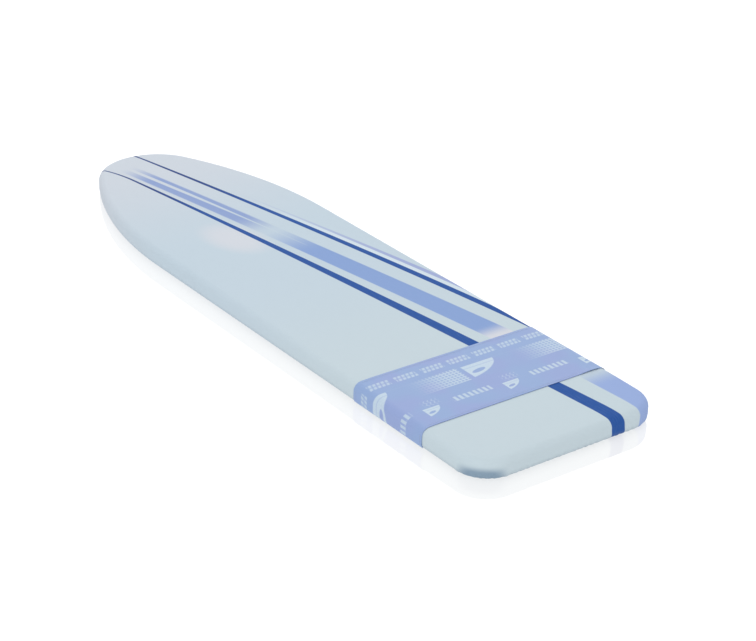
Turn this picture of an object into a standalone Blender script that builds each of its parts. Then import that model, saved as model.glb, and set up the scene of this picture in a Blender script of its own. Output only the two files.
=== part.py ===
"""Padded ironing board top with a fitted cover, lying flat on its hem.

Metres, +Z up. The nose points along -X, the wide end along +X, and the origin is
at the middle of the board on the surface that it lies on. Left is -Y and right is
+Y, as seen from the wide end looking towards the nose.

From the bottom up: the gathered hem with its drawcord, the tube rim with the leg
fittings between its sides, the perforated steel deck, felt, foam and the cover.
"""

import math

import bmesh
import bpy
from mathutils import Vector

# Driving dimensions of the board's outline
LENGTH = 1.100
WIDTH = 0.300
NOSE_RADIUS = 0.090
FLANK_RADIUS = 0.650
CORNER_RADIUS = 0.049
HALF_LENGTH = LENGTH / 2
HALF_WIDTH = WIDTH / 2

GAP = 0.0003  # between two pieces that touch

# Layers, from the cover's turned-under edge upwards
COVER_THICKNESS = 0.0010
COVER_UNDERSIDE_Z = 0.0012
COVER_TOP_Z = 0.0306
COVER_TOP_ROUND = 0.0100
COVER_LOWER_ROUND = 0.0050
COVER_TURN_UNDER = 0.0145
BAND_THICKNESS = 0.0006
BAND_SEAT_DEPTH = 0.0001  # the cloth lies this much lower under the sewn band
BAND_SEAT_MARGIN = 0.0005
BAND_START_X = HALF_LENGTH - 0.2565
BAND_END_X = HALF_LENGTH - 0.1125
BAND_LOWEST_Z = 0.0062
RIM_RADIUS = 0.0078
RIM_WALL = 0.0012
RIM_INSET = COVER_THICKNESS + GAP + RIM_RADIUS
RIM_Z = 0.0104
RIM_JOINT_X = -0.020
RIM_JOINT_GAP = 0.0002
SPIGOT_LENGTH = 0.060
DECK_BOTTOM_Z = RIM_Z + RIM_RADIUS + GAP
DECK_THICKNESS = 0.0010
DECK_TOP_Z = DECK_BOTTOM_Z + DECK_THICKNESS
DECK_INSET = 0.0045
FELT_BOTTOM_Z = DECK_TOP_Z + GAP
FELT_THICKNESS = 0.0020
FELT_TOP_Z = FELT_BOTTOM_Z + FELT_THICKNESS
FELT_INSET = 0.0018
FOAM_BOTTOM_Z = FELT_TOP_Z + GAP
FITTING_TOP_Z = DECK_BOTTOM_Z - GAP  # what is fixed under the deck ends here

# Hem casing and the cord in it
HEM_INSET = 0.0180
HEM_HALF_WIDTH = 0.0034
HEM_HALF_HEIGHT = 0.0025
HEM_CHANNEL = 0.0018
HEM_Z = HEM_HALF_HEIGHT * math.cos(math.pi / 8)  # its lowest flat is at zero
HEM_MOUTH_Y = 0.0140
CORD_RADIUS = 0.0013
CORD_SPREAD_Y = 0.0016  # each strand's distance from the middle in the cord lock

# Perforation of the deck
HOLE_RADIUS = 0.0125
HOLE_STEP_X = 0.0440
HOLE_STEP_Y = 0.0508
HOLE_MARGIN = 0.0240
RIVET_CLEARANCE = 0.0200

# Cross bars and rack rails
BAR_WIDTH = 0.0240
BAR_HEIGHT = 0.0060
BAR_WALL = 0.0012
BAR_END_INSET = 0.0195
BAR_X = {"front": -0.335, "middle": 0.170, "rear": 0.400}
RAIL_Y = 0.0450
RAIL_WALL = 0.0016
RAIL_FLANGE = 0.0120
RAIL_LOW_Z = 0.0040
NOTCH_COUNT = 6
NOTCH_WIDTH = 0.0108
NOTCH_TOP_Z = 0.0124
NOTCH_STEP = 0.0560
NOTCH_FIRST_X = -0.190
PARKING_END_X = -0.250  # the rail's web starts here, so a stored leg bar clears it

# Leg brackets
BRACKET_X = 0.285
BRACKET_Y = 0.0950
BRACKET_LENGTH = 0.0600
BRACKET_WALL = 0.0020
BRACKET_FLANGE = 0.0180
BRACKET_LOW_Z = 0.0030
PIVOT_HOLE_RADIUS = 0.0042
PIVOT_HOLE_Z = 0.0098
BRACKET_RIVET_OFFSET = 0.0200

# Rivets
RIVET_SHANK = 0.0018
RIVET_HOLE = 0.0022
RIVET_HEAD = 0.0038
RIVET_HEAD_HEIGHT = 0.0011

# Sliding catch that holds the folded leg bar
LATCH_START_X = -0.3225
LATCH_LENGTH = 0.0500
LATCH_HALF_WIDTH = 0.0165
LATCH_LOW_Z = 0.0018
LATCH_EAR = 0.0100
LATCH_WALL = 0.0020
SLIDER_HALF_WIDTH = 0.0100
SLIDER_LOW_Z = 0.0042
SLIDER_HIGH_Z = 0.0078
SLIDER_BACK_X = -0.3060
SLIDER_TIP_X = -0.2600
SLIDER_CLEARANCE = 0.0004
LATCH_TRAVEL = 0.0090
RIDGE_X = (-0.2960, -0.2885)
RIDGE_HALF_WIDTH = 0.0050
RIDGE_LOW_Z = 0.0008

# Cord lock
LOCK_X = 0.4970
LOCK_Z = 0.0078
LOCK_RADIUS = 0.0065
LOCK_BACK_Y = -0.0140
LOCK_FRONT_Y = 0.0105
LOCK_BORE = 0.0046
LOCK_BORE_END_Y = -0.0120
LOCK_SLOT_HALF_Y = 0.0032
LOCK_SLOT_HALF_Z = 0.0019
PLUNGER_RADIUS = 0.0042
PLUNGER_BACK_Y = -0.0052
PLUNGER_HEAD_Y = 0.0151
PLUNGER_TIP_Y = 0.0178
PLUNGER_TRAVEL = 0.0040
CORD_TAIL_X = 0.4750
END_STOP_X = (0.4700, 0.4840)
SPRING_STEPS = 8  # points in each turn of a spring


# ---- building blocks -------------------------------------------------------

def clear_scene():
    """Remove every object, so that a second run starts from nothing."""
    for old in list(bpy.data.objects):
        bpy.data.objects.remove(old, do_unlink=True)


def finish(name, color, roughness, metallic=0.0):
    """A plain Principled material."""
    material = bpy.data.materials.new(name)
    material.use_nodes = True
    shader = material.node_tree.nodes["Principled BSDF"]
    shader.inputs["Base Color"].default_value = (*color, 1.0)
    shader.inputs["Roughness"].default_value = roughness
    shader.inputs["Metallic"].default_value = metallic
    return material


def add_object(name, shape, material, smooth_angle=None):
    """Turn a bmesh into an object, with its faces pointing outwards."""
    bmesh.ops.recalc_face_normals(shape, faces=shape.faces)
    data = bpy.data.meshes.new(name)
    shape.to_mesh(data)
    shape.free()
    if smooth_angle is not None:
        data.shade_smooth()
        data.set_sharp_from_angle(angle=math.radians(smooth_angle))
    piece = bpy.data.objects.new(name, data)
    bpy.context.scene.collection.objects.link(piece)
    if material is not None:
        data.materials.append(material)
    return piece


def loft(rings, closed=False):
    """Join rings of equally many points, and cap the two ends unless closed."""
    shape = bmesh.new()
    loops = [[shape.verts.new(point) for point in ring] for ring in rings]
    followers = loops[1:] + loops[:1] if closed else loops[1:]
    for loop, follower in zip(loops, followers):
        for i in range(len(loop)):
            j = (i + 1) % len(loop)
            shape.faces.new((loop[i], loop[j], follower[j], follower[i]))
    if not closed:
        shape.faces.new(loops[0])
        shape.faces.new(loops[-1])
    return shape


def add_box(shape, low, high):
    """Add a box between two corners to a bmesh."""
    made = bmesh.ops.create_cube(shape, size=1.0)["verts"]
    size = Vector(high) - Vector(low)
    middle = (Vector(high) + Vector(low)) / 2
    bmesh.ops.scale(shape, verts=made, vec=size)
    bmesh.ops.translate(shape, verts=made, vec=middle)


def turned(profile, place, axis, sides=12):
    """Rings of a turned piece: each profile entry is (distance along the axis, radius)."""
    rings = []
    for along, radius in profile:
        ring = []
        for i in range(sides):
            angle = 2 * math.pi * (i + 0.5) / sides
            across, up = radius * math.cos(angle), radius * math.sin(angle)
            if axis == "Y":
                ring.append((place[0] + across, along, place[1] + up))
            elif axis == "X":
                ring.append((along, place[0] + across, place[1] + up))
            else:
                ring.append((place[0] + across, place[1] + up, along))
        rings.append(ring)
    return rings


def cut(piece, cutter_shape, operation="DIFFERENCE"):
    """Apply a hidden cutter (or joined second shape) with a Boolean modifier."""
    cutter = add_object(piece.name + "_cutter", cutter_shape, None)
    cutter.hide_render = True
    cutter.display_type = "WIRE"
    modifier = piece.modifiers.new("shape", "BOOLEAN")
    modifier.operation = operation
    modifier.solver = "EXACT"
    modifier.object = cutter


def arc(center, radius, start, end, steps):
    """Points on an arc, both ends included; angles in radians."""
    angles = [start + (end - start) * i / steps for i in range(steps + 1)]
    return [(center[0] + radius * math.cos(a), center[1] + radius * math.sin(a)) for a in angles]


# ---- the board's outline ----------------------------------------------------

NOSE_X = -HALF_LENGTH + NOSE_RADIUS
FLANK_Y = HALF_WIDTH - FLANK_RADIUS
FLANK_X = NOSE_X + math.sqrt((FLANK_RADIUS - NOSE_RADIUS) ** 2 - FLANK_Y ** 2)
JOINT_ANGLE = math.atan2(-FLANK_Y, NOSE_X - FLANK_X)


def nose_half(inset):
    """From the nose tip to where the right side becomes straight."""
    tip = arc((NOSE_X, 0.0), NOSE_RADIUS - inset, math.pi, JOINT_ANGLE, 7)
    flank = arc((FLANK_X, FLANK_Y), FLANK_RADIUS - inset, JOINT_ANGLE, math.pi / 2, 8)
    return tip + flank[1:]


def corner_arc(inset):
    """Right-hand corner of the wide end, from the side round to the end."""
    radius = CORNER_RADIUS - inset
    center = (HALF_LENGTH - CORNER_RADIUS, HALF_WIDTH - CORNER_RADIUS)
    return arc(center, radius, math.pi / 2, 0.0, 6)


def side_points(inset):
    """Points along the straight right side, between the flank and the corner."""
    start, end = FLANK_X, HALF_LENGTH - CORNER_RADIUS
    return [(start + (end - start) * i / 3, HALF_WIDTH - inset) for i in (1, 2)]


def mirrored(points):
    """The same points on the left side, in reverse order."""
    return [(x, -y) for x, y in reversed(points)]


def outline(inset):
    """The whole outline, moved inwards by inset."""
    right = nose_half(inset) + side_points(inset) + corner_arc(inset)
    return right + mirrored(right[1:])


def level_ring(inset, z):
    """The outline as a ring of 3-D points."""
    return [(x, y, z) for x, y in outline(inset)]


def half_width_at(x):
    """Half the board's width at a place on a flank or on the straight sides."""
    if x >= FLANK_X:
        return HALF_WIDTH
    return FLANK_Y + math.sqrt(FLANK_RADIUS ** 2 - (x - FLANK_X) ** 2)


# ---- soft goods --------------------------------------------------------------

def cover_section(extra):
    """Outer section of the cover as (inset, z), moved outwards by extra."""
    top_center = (COVER_TOP_ROUND, COVER_TOP_Z - COVER_TOP_ROUND)
    low_center = (COVER_LOWER_ROUND, COVER_UNDERSIDE_Z + COVER_LOWER_ROUND)
    top = arc(top_center, COVER_TOP_ROUND + extra, math.pi / 2, math.pi, 5)
    low = arc(low_center, COVER_LOWER_ROUND + extra, math.pi, 1.5 * math.pi, 3)
    return top, low


def make_cover(material):
    """One fitted sheet: the top, the rounded sides and the part turned under the rim."""
    rings = []
    top, low = cover_section(0.0)
    rings += [level_ring(inset, z) for inset, z in top + low]
    rings.append(level_ring(COVER_TURN_UNDER, COVER_UNDERSIDE_Z))
    rings.append(level_ring(COVER_TURN_UNDER, COVER_UNDERSIDE_Z + COVER_THICKNESS))
    top, low = cover_section(-COVER_THICKNESS)
    rings += [level_ring(inset, z) for inset, z in reversed(top + low)]
    cover = add_object("cover_fabric", loft(rings), material, 40)
    seat = bmesh.new()
    add_box(
        seat,
        (BAND_START_X - BAND_SEAT_MARGIN, -WIDTH, COVER_TOP_Z - BAND_SEAT_DEPTH),
        (BAND_END_X + BAND_SEAT_MARGIN, WIDTH, COVER_TOP_Z + BAND_SEAT_MARGIN),
    )
    cut(cover, seat)


def make_foam(material):
    """Foam that fills the cover from the felt to the top, rounded like the cover."""
    top, _ = cover_section(-COVER_THICKNESS - GAP)
    rings = [level_ring(inset, z) for inset, z in top if z > FOAM_BOTTOM_Z]
    rings.append(level_ring(COVER_THICKNESS + GAP, FOAM_BOTTOM_Z))
    add_object("foam_pad", loft(rings), material, 40)


def make_felt(material):
    """Thin felt between the steel deck and the foam."""
    rings = [level_ring(FELT_INSET, FELT_BOTTOM_Z), level_ring(FELT_INSET, FELT_TOP_Z)]
    add_object("felt_underlay", loft(rings), material, 40)


def band_line(extra):
    """The band's section across the board, from the right side over to the left."""
    top, _ = cover_section(extra)
    right = [(HALF_WIDTH + extra, BAND_LOWEST_Z)]
    right += [(HALF_WIDTH - inset, z) for inset, z in reversed(top)]
    return right + mirrored_section(right)


def mirrored_section(points):
    """A section's points on the left side, in reverse order."""
    return [(-y, z) for y, z in reversed(points)]


def make_band(material):
    """Heat-resistant band sewn across the cover near the wide end."""
    outer = band_line(GAP + BAND_THICKNESS)
    inner = band_line(GAP)
    section = outer + inner[::-1]
    rings = [[(x, y, z) for y, z in section] for x in (BAND_START_X, BAND_END_X)]
    add_object("park_band", loft(rings), material, 40)


def tube_rings(path, half_width, half_height, z, sides):
    """Rings of an oval section that follows a level path."""
    rings = []
    for i, (x, y) in enumerate(path):
        before, after = path[max(i - 1, 0)], path[min(i + 1, len(path) - 1)]
        along = Vector((after[0] - before[0], after[1] - before[1])).normalized()
        ring = []
        for k in range(sides):
            angle = 2 * math.pi * (k + 0.5) / sides
            across = half_width * math.cos(angle)
            up = half_height * math.sin(angle)
            ring.append((x - along.y * across, y + along.x * across, z + up))
        rings.append(ring)
    return rings


def hollow_tube(path, outer, inner, z, sides):
    """A tube open at both ends; outer and inner are (half width, half height)."""
    outside = tube_rings(path, *outer, z, sides)
    inside = tube_rings(path, *inner, z, sides)
    return loft(outside + inside[::-1], closed=True)


def hem_path():
    """Round the board from one mouth of the casing to the other."""
    right = nose_half(HEM_INSET) + side_points(HEM_INSET) + corner_arc(HEM_INSET)
    right.append((HALF_LENGTH - HEM_INSET, HEM_MOUTH_Y))
    return right[::-1] + [(x, -y) for x, y in right[1:]]


def make_hem(material):
    """Tape casing sewn to the cover's edge, open at its two mouths."""
    shape = hollow_tube(
        hem_path(), (HEM_HALF_WIDTH, HEM_HALF_HEIGHT), (HEM_CHANNEL, HEM_CHANNEL), HEM_Z, 8
    )
    add_object("hem_casing", shape, material, 50)


def make_drawcord(material):
    """One cord through the whole hem, with both ends through the lock into the end stop."""
    mouth_x = HALF_LENGTH - HEM_INSET
    lead = [
        (CORD_TAIL_X, CORD_SPREAD_Y, LOCK_Z),
        (0.4850, CORD_SPREAD_Y, LOCK_Z),
        (LOCK_X, CORD_SPREAD_Y, LOCK_Z),
        (0.5080, CORD_SPREAD_Y, LOCK_Z - 0.0002),
        (0.5150, 0.0020, LOCK_Z - 0.0014),
        (0.5210, 0.0032, LOCK_Z - 0.0030),
        (0.5262, 0.0058, LOCK_Z - 0.0044),
        (0.5298, 0.0092, LOCK_Z - 0.0052),
        (mouth_x - 0.0004, 0.0126, HEM_Z + 0.0001),
    ]
    hem = [(x, y, HEM_Z) for x, y in hem_path()]
    points = lead + hem + [(x, -y, z) for x, y, z in reversed(lead)]
    curve = bpy.data.curves.new("drawcord", "CURVE")
    curve.dimensions = "3D"
    curve.bevel_depth = CORD_RADIUS
    curve.bevel_resolution = 2
    curve.use_fill_caps = True
    spline = curve.splines.new("POLY")
    spline.points.add(len(points) - 1)
    for point, place in zip(spline.points, points):
        point.co = (*place, 1.0)
    curve.materials.append(material)
    cord = bpy.data.objects.new("drawcord", curve)
    bpy.context.scene.collection.objects.link(cord)


# ---- cord lock ----------------------------------------------------------------

def make_spring(name, start, end, radius, wire, turns, axis, place, material):
    """A compression spring as a helix of round wire between two places on its axis."""
    curve = bpy.data.curves.new(name, "CURVE")
    curve.dimensions = "3D"
    curve.bevel_depth = wire
    curve.bevel_resolution = 1
    curve.use_fill_caps = True
    steps = SPRING_STEPS * turns
    spline = curve.splines.new("POLY")
    spline.points.add(steps)
    for i, point in enumerate(spline.points):
        angle = 2 * math.pi * turns * i / steps
        along = start + wire + (end - start - 2 * wire) * i / steps
        across, up = radius * math.cos(angle), radius * math.sin(angle)
        if axis == "Y":
            point.co = (place[0] + across, along, place[1] + up, 1.0)
        else:
            point.co = (along, place[0] + across, place[1] + up, 1.0)
    curve.materials.append(material)
    spring = bpy.data.objects.new(name, curve)
    bpy.context.scene.collection.objects.link(spring)


def make_cord_lock(plastic, accent, steel):
    """Barrel with a cross slot for the cord, a sprung plunger and the cord's end stop."""
    place = (LOCK_X, LOCK_Z)
    barrel = [
        (LOCK_BACK_Y, LOCK_RADIUS - 0.0013),
        (LOCK_BACK_Y + 0.0012, LOCK_RADIUS),
        (LOCK_FRONT_Y - 0.0010, LOCK_RADIUS),
        (LOCK_FRONT_Y, LOCK_RADIUS - 0.0010),
        (LOCK_FRONT_Y, LOCK_BORE),
        (LOCK_BORE_END_Y, LOCK_BORE),
    ]
    body = add_object("cord_lock_body", loft(turned(barrel, place, "Y")), plastic, 40)
    slot = bmesh.new()
    add_box(
        slot,
        (LOCK_X - 0.010, -LOCK_SLOT_HALF_Y, LOCK_Z - LOCK_SLOT_HALF_Z),
        (LOCK_X + 0.010, LOCK_SLOT_HALF_Y, LOCK_Z + LOCK_SLOT_HALF_Z),
    )
    cut(body, slot)

    shank = [
        (PLUNGER_BACK_Y, PLUNGER_RADIUS - 0.0005),
        (PLUNGER_BACK_Y + 0.0005, PLUNGER_RADIUS),
        (PLUNGER_HEAD_Y, PLUNGER_RADIUS),
        (PLUNGER_HEAD_Y, 0.0055),
        (PLUNGER_TIP_Y - 0.0008, 0.0055),
        (PLUNGER_TIP_Y, 0.0045),
    ]
    plunger = add_object("cord_lock_plunger", loft(turned(shank, place, "Y")), accent, 40)
    slot = bmesh.new()
    add_box(
        slot,
        (LOCK_X - 0.010, -LOCK_SLOT_HALF_Y, LOCK_Z - LOCK_SLOT_HALF_Z),
        (LOCK_X + 0.010, LOCK_SLOT_HALF_Y + PLUNGER_TRAVEL, LOCK_Z + LOCK_SLOT_HALF_Z),
    )
    cut(plunger, slot)

    make_spring(
        "cord_lock_spring", LOCK_BORE_END_Y + GAP, PLUNGER_BACK_Y - GAP,
        0.0030, 0.0003, 4, "Y", place, steel,
    )
    stop = [
        (END_STOP_X[0] + 0.0035, 0.0034),
        (END_STOP_X[1], 0.0034),
        (END_STOP_X[1], 0.0044),
        (END_STOP_X[0] + 0.0015, 0.0051),
        (END_STOP_X[0], 0.0040),
    ]
    add_object("cord_end_stop", loft(turned(stop, (0.0, LOCK_Z), "X")), accent, 40)


# ---- frame --------------------------------------------------------------------

def make_rim(material, steel):
    """Two bent tubes that meet on the straight sides, joined by spigots."""
    side = HALF_WIDTH - RIM_INSET
    front_end = (RIM_JOINT_X - RIM_JOINT_GAP, side)
    nose = nose_half(RIM_INSET)
    front = [front_end] + nose[::-1] + [(x, -y) for x, y in nose[1:]]
    front.append((front_end[0], -side))
    corner = corner_arc(RIM_INSET)
    rear_end = (RIM_JOINT_X + RIM_JOINT_GAP, side)
    rear = [rear_end] + corner + mirrored(corner) + [(rear_end[0], -side)]
    wide = (RIM_RADIUS, RIM_RADIUS)
    bore = (RIM_RADIUS - RIM_WALL, RIM_RADIUS - RIM_WALL)
    add_object("rim_tube_front", hollow_tube(front, wide, bore, RIM_Z, 10), material, 40)
    add_object("rim_tube_rear", hollow_tube(rear, wide, bore, RIM_Z, 10), material, 40)
    radius = RIM_RADIUS - RIM_WALL - GAP
    ends = (RIM_JOINT_X - SPIGOT_LENGTH / 2, RIM_JOINT_X + SPIGOT_LENGTH / 2)
    profile = [
        (ends[0], radius - 0.0010), (ends[0] + 0.0010, radius),
        (ends[1] - 0.0010, radius), (ends[1], radius - 0.0010),
    ]
    for name, y in (("rim_spigot_left", -side), ("rim_spigot_right", side)):
        add_object(name, loft(turned(profile, (y, RIM_Z), "X", 10)), steel, 40)


def rivet_places():
    """Name and place of every rivet that goes through the deck."""
    places = {}
    for side, sign in (("left", -1), ("right", 1)):
        y = sign * (BRACKET_Y + BRACKET_WALL + 0.5 * (BRACKET_FLANGE - BRACKET_WALL))
        places["bracket_rivet_" + side + "_front"] = (BRACKET_X - BRACKET_RIVET_OFFSET, y)
        places["bracket_rivet_" + side + "_rear"] = (BRACKET_X + BRACKET_RIVET_OFFSET, y)
        latch_y = sign * (LATCH_HALF_WIDTH + 0.5 * LATCH_EAR)
        places["latch_rivet_" + side] = (LATCH_START_X + 0.5 * LATCH_LENGTH, latch_y)
    return places


def inside_outline(x, y, inset):
    """Whether a point is inside the outline moved inwards by inset."""
    points = outline(inset)
    for (ax, ay), (bx, by) in zip(points, points[1:] + points[:1]):
        if (bx - ax) * (y - ay) - (by - ay) * (x - ax) > 0:
            return False
    return True


def vent_places():
    """Centres of the deck's six-sided steam holes, in staggered columns."""
    columns = int(LENGTH / HOLE_STEP_X)
    rows = int(WIDTH / HOLE_STEP_Y) + 1
    places = []
    for i in range(columns + 1):
        x = -HALF_LENGTH + 0.0260 + i * HOLE_STEP_X
        shift = 0.5 * HOLE_STEP_Y * (i % 2)
        for j in range(-rows, rows + 1):
            y = j * HOLE_STEP_Y + shift
            inside = inside_outline(x, y, HOLE_MARGIN)
            near = [math.dist((x, y), spot) < RIVET_CLEARANCE for spot in rivet_places().values()]
            if inside and not any(near):
                places.append((x, y))
    return places


def ring_edges(shape, points):
    """Add a closed loop of edges to a bmesh."""
    corners = [shape.verts.new(point) for point in points]
    return [shape.edges.new((a, b)) for a, b in zip(corners, corners[1:] + corners[:1])]


def make_deck(material):
    """Flat steel sheet with steam holes and rivet holes."""
    shape = bmesh.new()
    edges = ring_edges(shape, level_ring(DECK_INSET, DECK_BOTTOM_Z))
    holes = [(place, HOLE_RADIUS, 6) for place in vent_places()]
    holes += [(place, RIVET_HOLE, 10) for place in rivet_places().values()]
    for (x, y), radius, sides in holes:
        rim = arc((x, y), radius, 0.0, 2 * math.pi, sides)[:-1]
        edges += ring_edges(shape, [(px, py, DECK_BOTTOM_Z) for px, py in rim])
    bmesh.ops.triangle_fill(shape, use_beauty=True, edges=edges)
    made = bmesh.ops.extrude_face_region(shape, geom=shape.faces[:])["geom"]
    corners = [item for item in made if isinstance(item, bmesh.types.BMVert)]
    bmesh.ops.translate(shape, verts=corners, vec=(0.0, 0.0, DECK_THICKNESS))
    add_object("mesh_deck", shape, material)


def make_cross_bars(material):
    """Three pressed channels across the board under the deck."""
    half, wall = BAR_WIDTH / 2, BAR_WALL
    low, high = FITTING_TOP_Z - BAR_HEIGHT, FITTING_TOP_Z
    section = [
        (-half, high), (-half, low), (half, low), (half, high),
        (half - wall, high), (half - wall, low + wall),
        (wall - half, low + wall), (wall - half, high),
    ]
    for name, x in BAR_X.items():
        end = half_width_at(x - half) - BAR_END_INSET
        rings = [[(x + dx, y, z) for dx, z in section] for y in (-end, end)]
        add_object("cross_bar_" + name, loft(rings), material)


def angle_section(y, wall, flange, low, sign):
    """L section in the YZ plane: a web down from a flange that points outwards."""
    high = FITTING_TOP_Z
    section = [
        (y, low), (y + wall, low), (y + wall, high - wall),
        (y + flange, high - wall), (y + flange, high), (y, high),
    ]
    return [(sign * across, z) for across, z in section]


def notch_places():
    """Where the leg bar can sit along the rails."""
    return [NOTCH_FIRST_X + i * NOTCH_STEP for i in range(NOTCH_COUNT)]


def make_rack_rails(material):
    """Two angle rails whose webs carry the height notches for the sliding leg bar."""
    start = BAR_X["front"] + BAR_WIDTH / 2 + GAP
    end = BAR_X["middle"] - BAR_WIDTH / 2 - GAP
    for side, sign in (("left", -1), ("right", 1)):
        section = angle_section(RAIL_Y, RAIL_WALL, RAIL_FLANGE, RAIL_LOW_Z, sign)
        rings = [[(x, y, z) for y, z in section] for x in (start, end)]
        rail = add_object("rack_rail_" + side, loft(rings), material)
        cutter = bmesh.new()
        low_y, high_y = sorted((sign * (RAIL_Y - 0.001), sign * (RAIL_Y + 0.003)))
        for x in notch_places():
            add_box(
                cutter,
                (x - NOTCH_WIDTH / 2, low_y, RAIL_LOW_Z - 0.001),
                (x + NOTCH_WIDTH / 2, high_y, NOTCH_TOP_Z),
            )
        web_top = FITTING_TOP_Z - RAIL_WALL
        add_box(cutter, (start - 0.001, low_y, RAIL_LOW_Z - 0.001), (PARKING_END_X, high_y, web_top))
        cut(rail, cutter)


def make_leg_brackets(material):
    """Angle brackets whose webs carry the fixed leg's pivot holes."""
    ends = (BRACKET_X - BRACKET_LENGTH / 2, BRACKET_X + BRACKET_LENGTH / 2)
    for side, sign in (("left", -1), ("right", 1)):
        section = angle_section(BRACKET_Y, BRACKET_WALL, BRACKET_FLANGE, BRACKET_LOW_Z, sign)
        rings = [[(x, y, z) for y, z in section] for x in ends]
        bracket = add_object("leg_bracket_" + side, loft(rings), material)
        low_y, high_y = sorted((sign * (BRACKET_Y - 0.001), sign * (BRACKET_Y + 0.004)))
        pivot = [(low_y, PIVOT_HOLE_RADIUS), (high_y, PIVOT_HOLE_RADIUS)]
        cutter = loft(turned(pivot, (BRACKET_X, PIVOT_HOLE_Z), "Y", 16))
        cut(bracket, cutter)
        cut(bracket, rivet_hole_cutter("bracket_rivet_" + side))


def rivet_hole_cutter(prefix):
    """Short cylinders where the rivets of one fitting go through its flange."""
    cutter = bmesh.new()
    for name, place in rivet_places().items():
        if name.startswith(prefix):
            hole = loft(turned(
                [(FITTING_TOP_Z - 0.004, RIVET_HOLE), (FITTING_TOP_Z + 0.001, RIVET_HOLE)],
                place, "Z", 10,
            ))
            scratch = bpy.data.meshes.new("scratch")
            hole.to_mesh(scratch)
            hole.free()
            cutter.from_mesh(scratch)
            bpy.data.meshes.remove(scratch)
    return cutter


def make_rivets(material):
    """Rivets set flush with the deck's upper face."""
    for name, place in rivet_places().items():
        head_top = FITTING_TOP_Z - BRACKET_WALL - GAP
        profile = [
            (head_top - RIVET_HEAD_HEIGHT, RIVET_HEAD - 0.0010),
            (head_top - 0.4 * RIVET_HEAD_HEIGHT, RIVET_HEAD),
            (head_top, RIVET_HEAD),
            (head_top, RIVET_SHANK),
            (DECK_TOP_Z, RIVET_SHANK),
        ]
        add_object(name, loft(turned(profile, place, "Z", 10)), material, 40)


# ---- sliding catch --------------------------------------------------------------

def make_latch_housing(material):
    """Riveted plastic guide for the slider, open at the front and below."""
    wide, ear, low = LATCH_HALF_WIDTH, LATCH_HALF_WIDTH + LATCH_EAR, LATCH_LOW_Z
    high, shelf = FITTING_TOP_Z, FITTING_TOP_Z - BRACKET_WALL
    section = [
        (-ear, shelf), (-wide, shelf), (-wide, low), (wide, low),
        (wide, shelf), (ear, shelf), (ear, high), (-ear, high),
    ]
    end = LATCH_START_X + LATCH_LENGTH
    rings = [[(x, y, z) for y, z in section] for x in (LATCH_START_X, end)]
    housing = add_object("latch_housing", loft(rings), material)
    pocket = bmesh.new()
    add_box(
        pocket,
        (LATCH_START_X + LATCH_WALL, -SLIDER_HALF_WIDTH - SLIDER_CLEARANCE,
         SLIDER_LOW_Z - SLIDER_CLEARANCE),
        (end + 0.001, SLIDER_HALF_WIDTH + SLIDER_CLEARANCE, SLIDER_HIGH_Z + SLIDER_CLEARANCE),
    )
    cut(housing, pocket)
    thumb_slot = bmesh.new()
    add_box(
        thumb_slot,
        (RIDGE_X[0] - LATCH_TRAVEL - SLIDER_CLEARANCE, -RIDGE_HALF_WIDTH - SLIDER_CLEARANCE,
         LATCH_LOW_Z - 0.001),
        (RIDGE_X[1] + SLIDER_CLEARANCE, RIDGE_HALF_WIDTH + SLIDER_CLEARANCE,
         SLIDER_LOW_Z + 0.001),
    )
    cut(housing, thumb_slot)
    cut(housing, rivet_hole_cutter("latch_rivet"))


def make_latch_slider(material, steel):
    """Sprung tongue that holds the folded leg bar up, with a thumb ridge below."""
    ramp = 0.0080
    side = [
        (SLIDER_BACK_X, SLIDER_LOW_Z), (SLIDER_TIP_X - ramp, SLIDER_LOW_Z),
        (SLIDER_TIP_X, SLIDER_HIGH_Z - 0.0008), (SLIDER_TIP_X, SLIDER_HIGH_Z),
        (SLIDER_BACK_X, SLIDER_HIGH_Z),
    ]
    widths = (-SLIDER_HALF_WIDTH, SLIDER_HALF_WIDTH)
    rings = [[(x, y, z) for x, z in side] for y in widths]
    slider = add_object("latch_slider", loft(rings), material)
    ridge = bmesh.new()
    add_box(
        ridge,
        (RIDGE_X[0], -RIDGE_HALF_WIDTH, RIDGE_LOW_Z),
        (RIDGE_X[1], RIDGE_HALF_WIDTH, SLIDER_LOW_Z + 0.001),
    )
    cut(slider, ridge, "UNION")
    middle_z = (SLIDER_LOW_Z + SLIDER_HIGH_Z) / 2
    make_spring(
        "latch_spring", LATCH_START_X + LATCH_WALL + GAP, SLIDER_BACK_X - GAP,
        0.0014, 0.0003, 7, "X", (0.0, middle_z), steel,
    )


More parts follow.
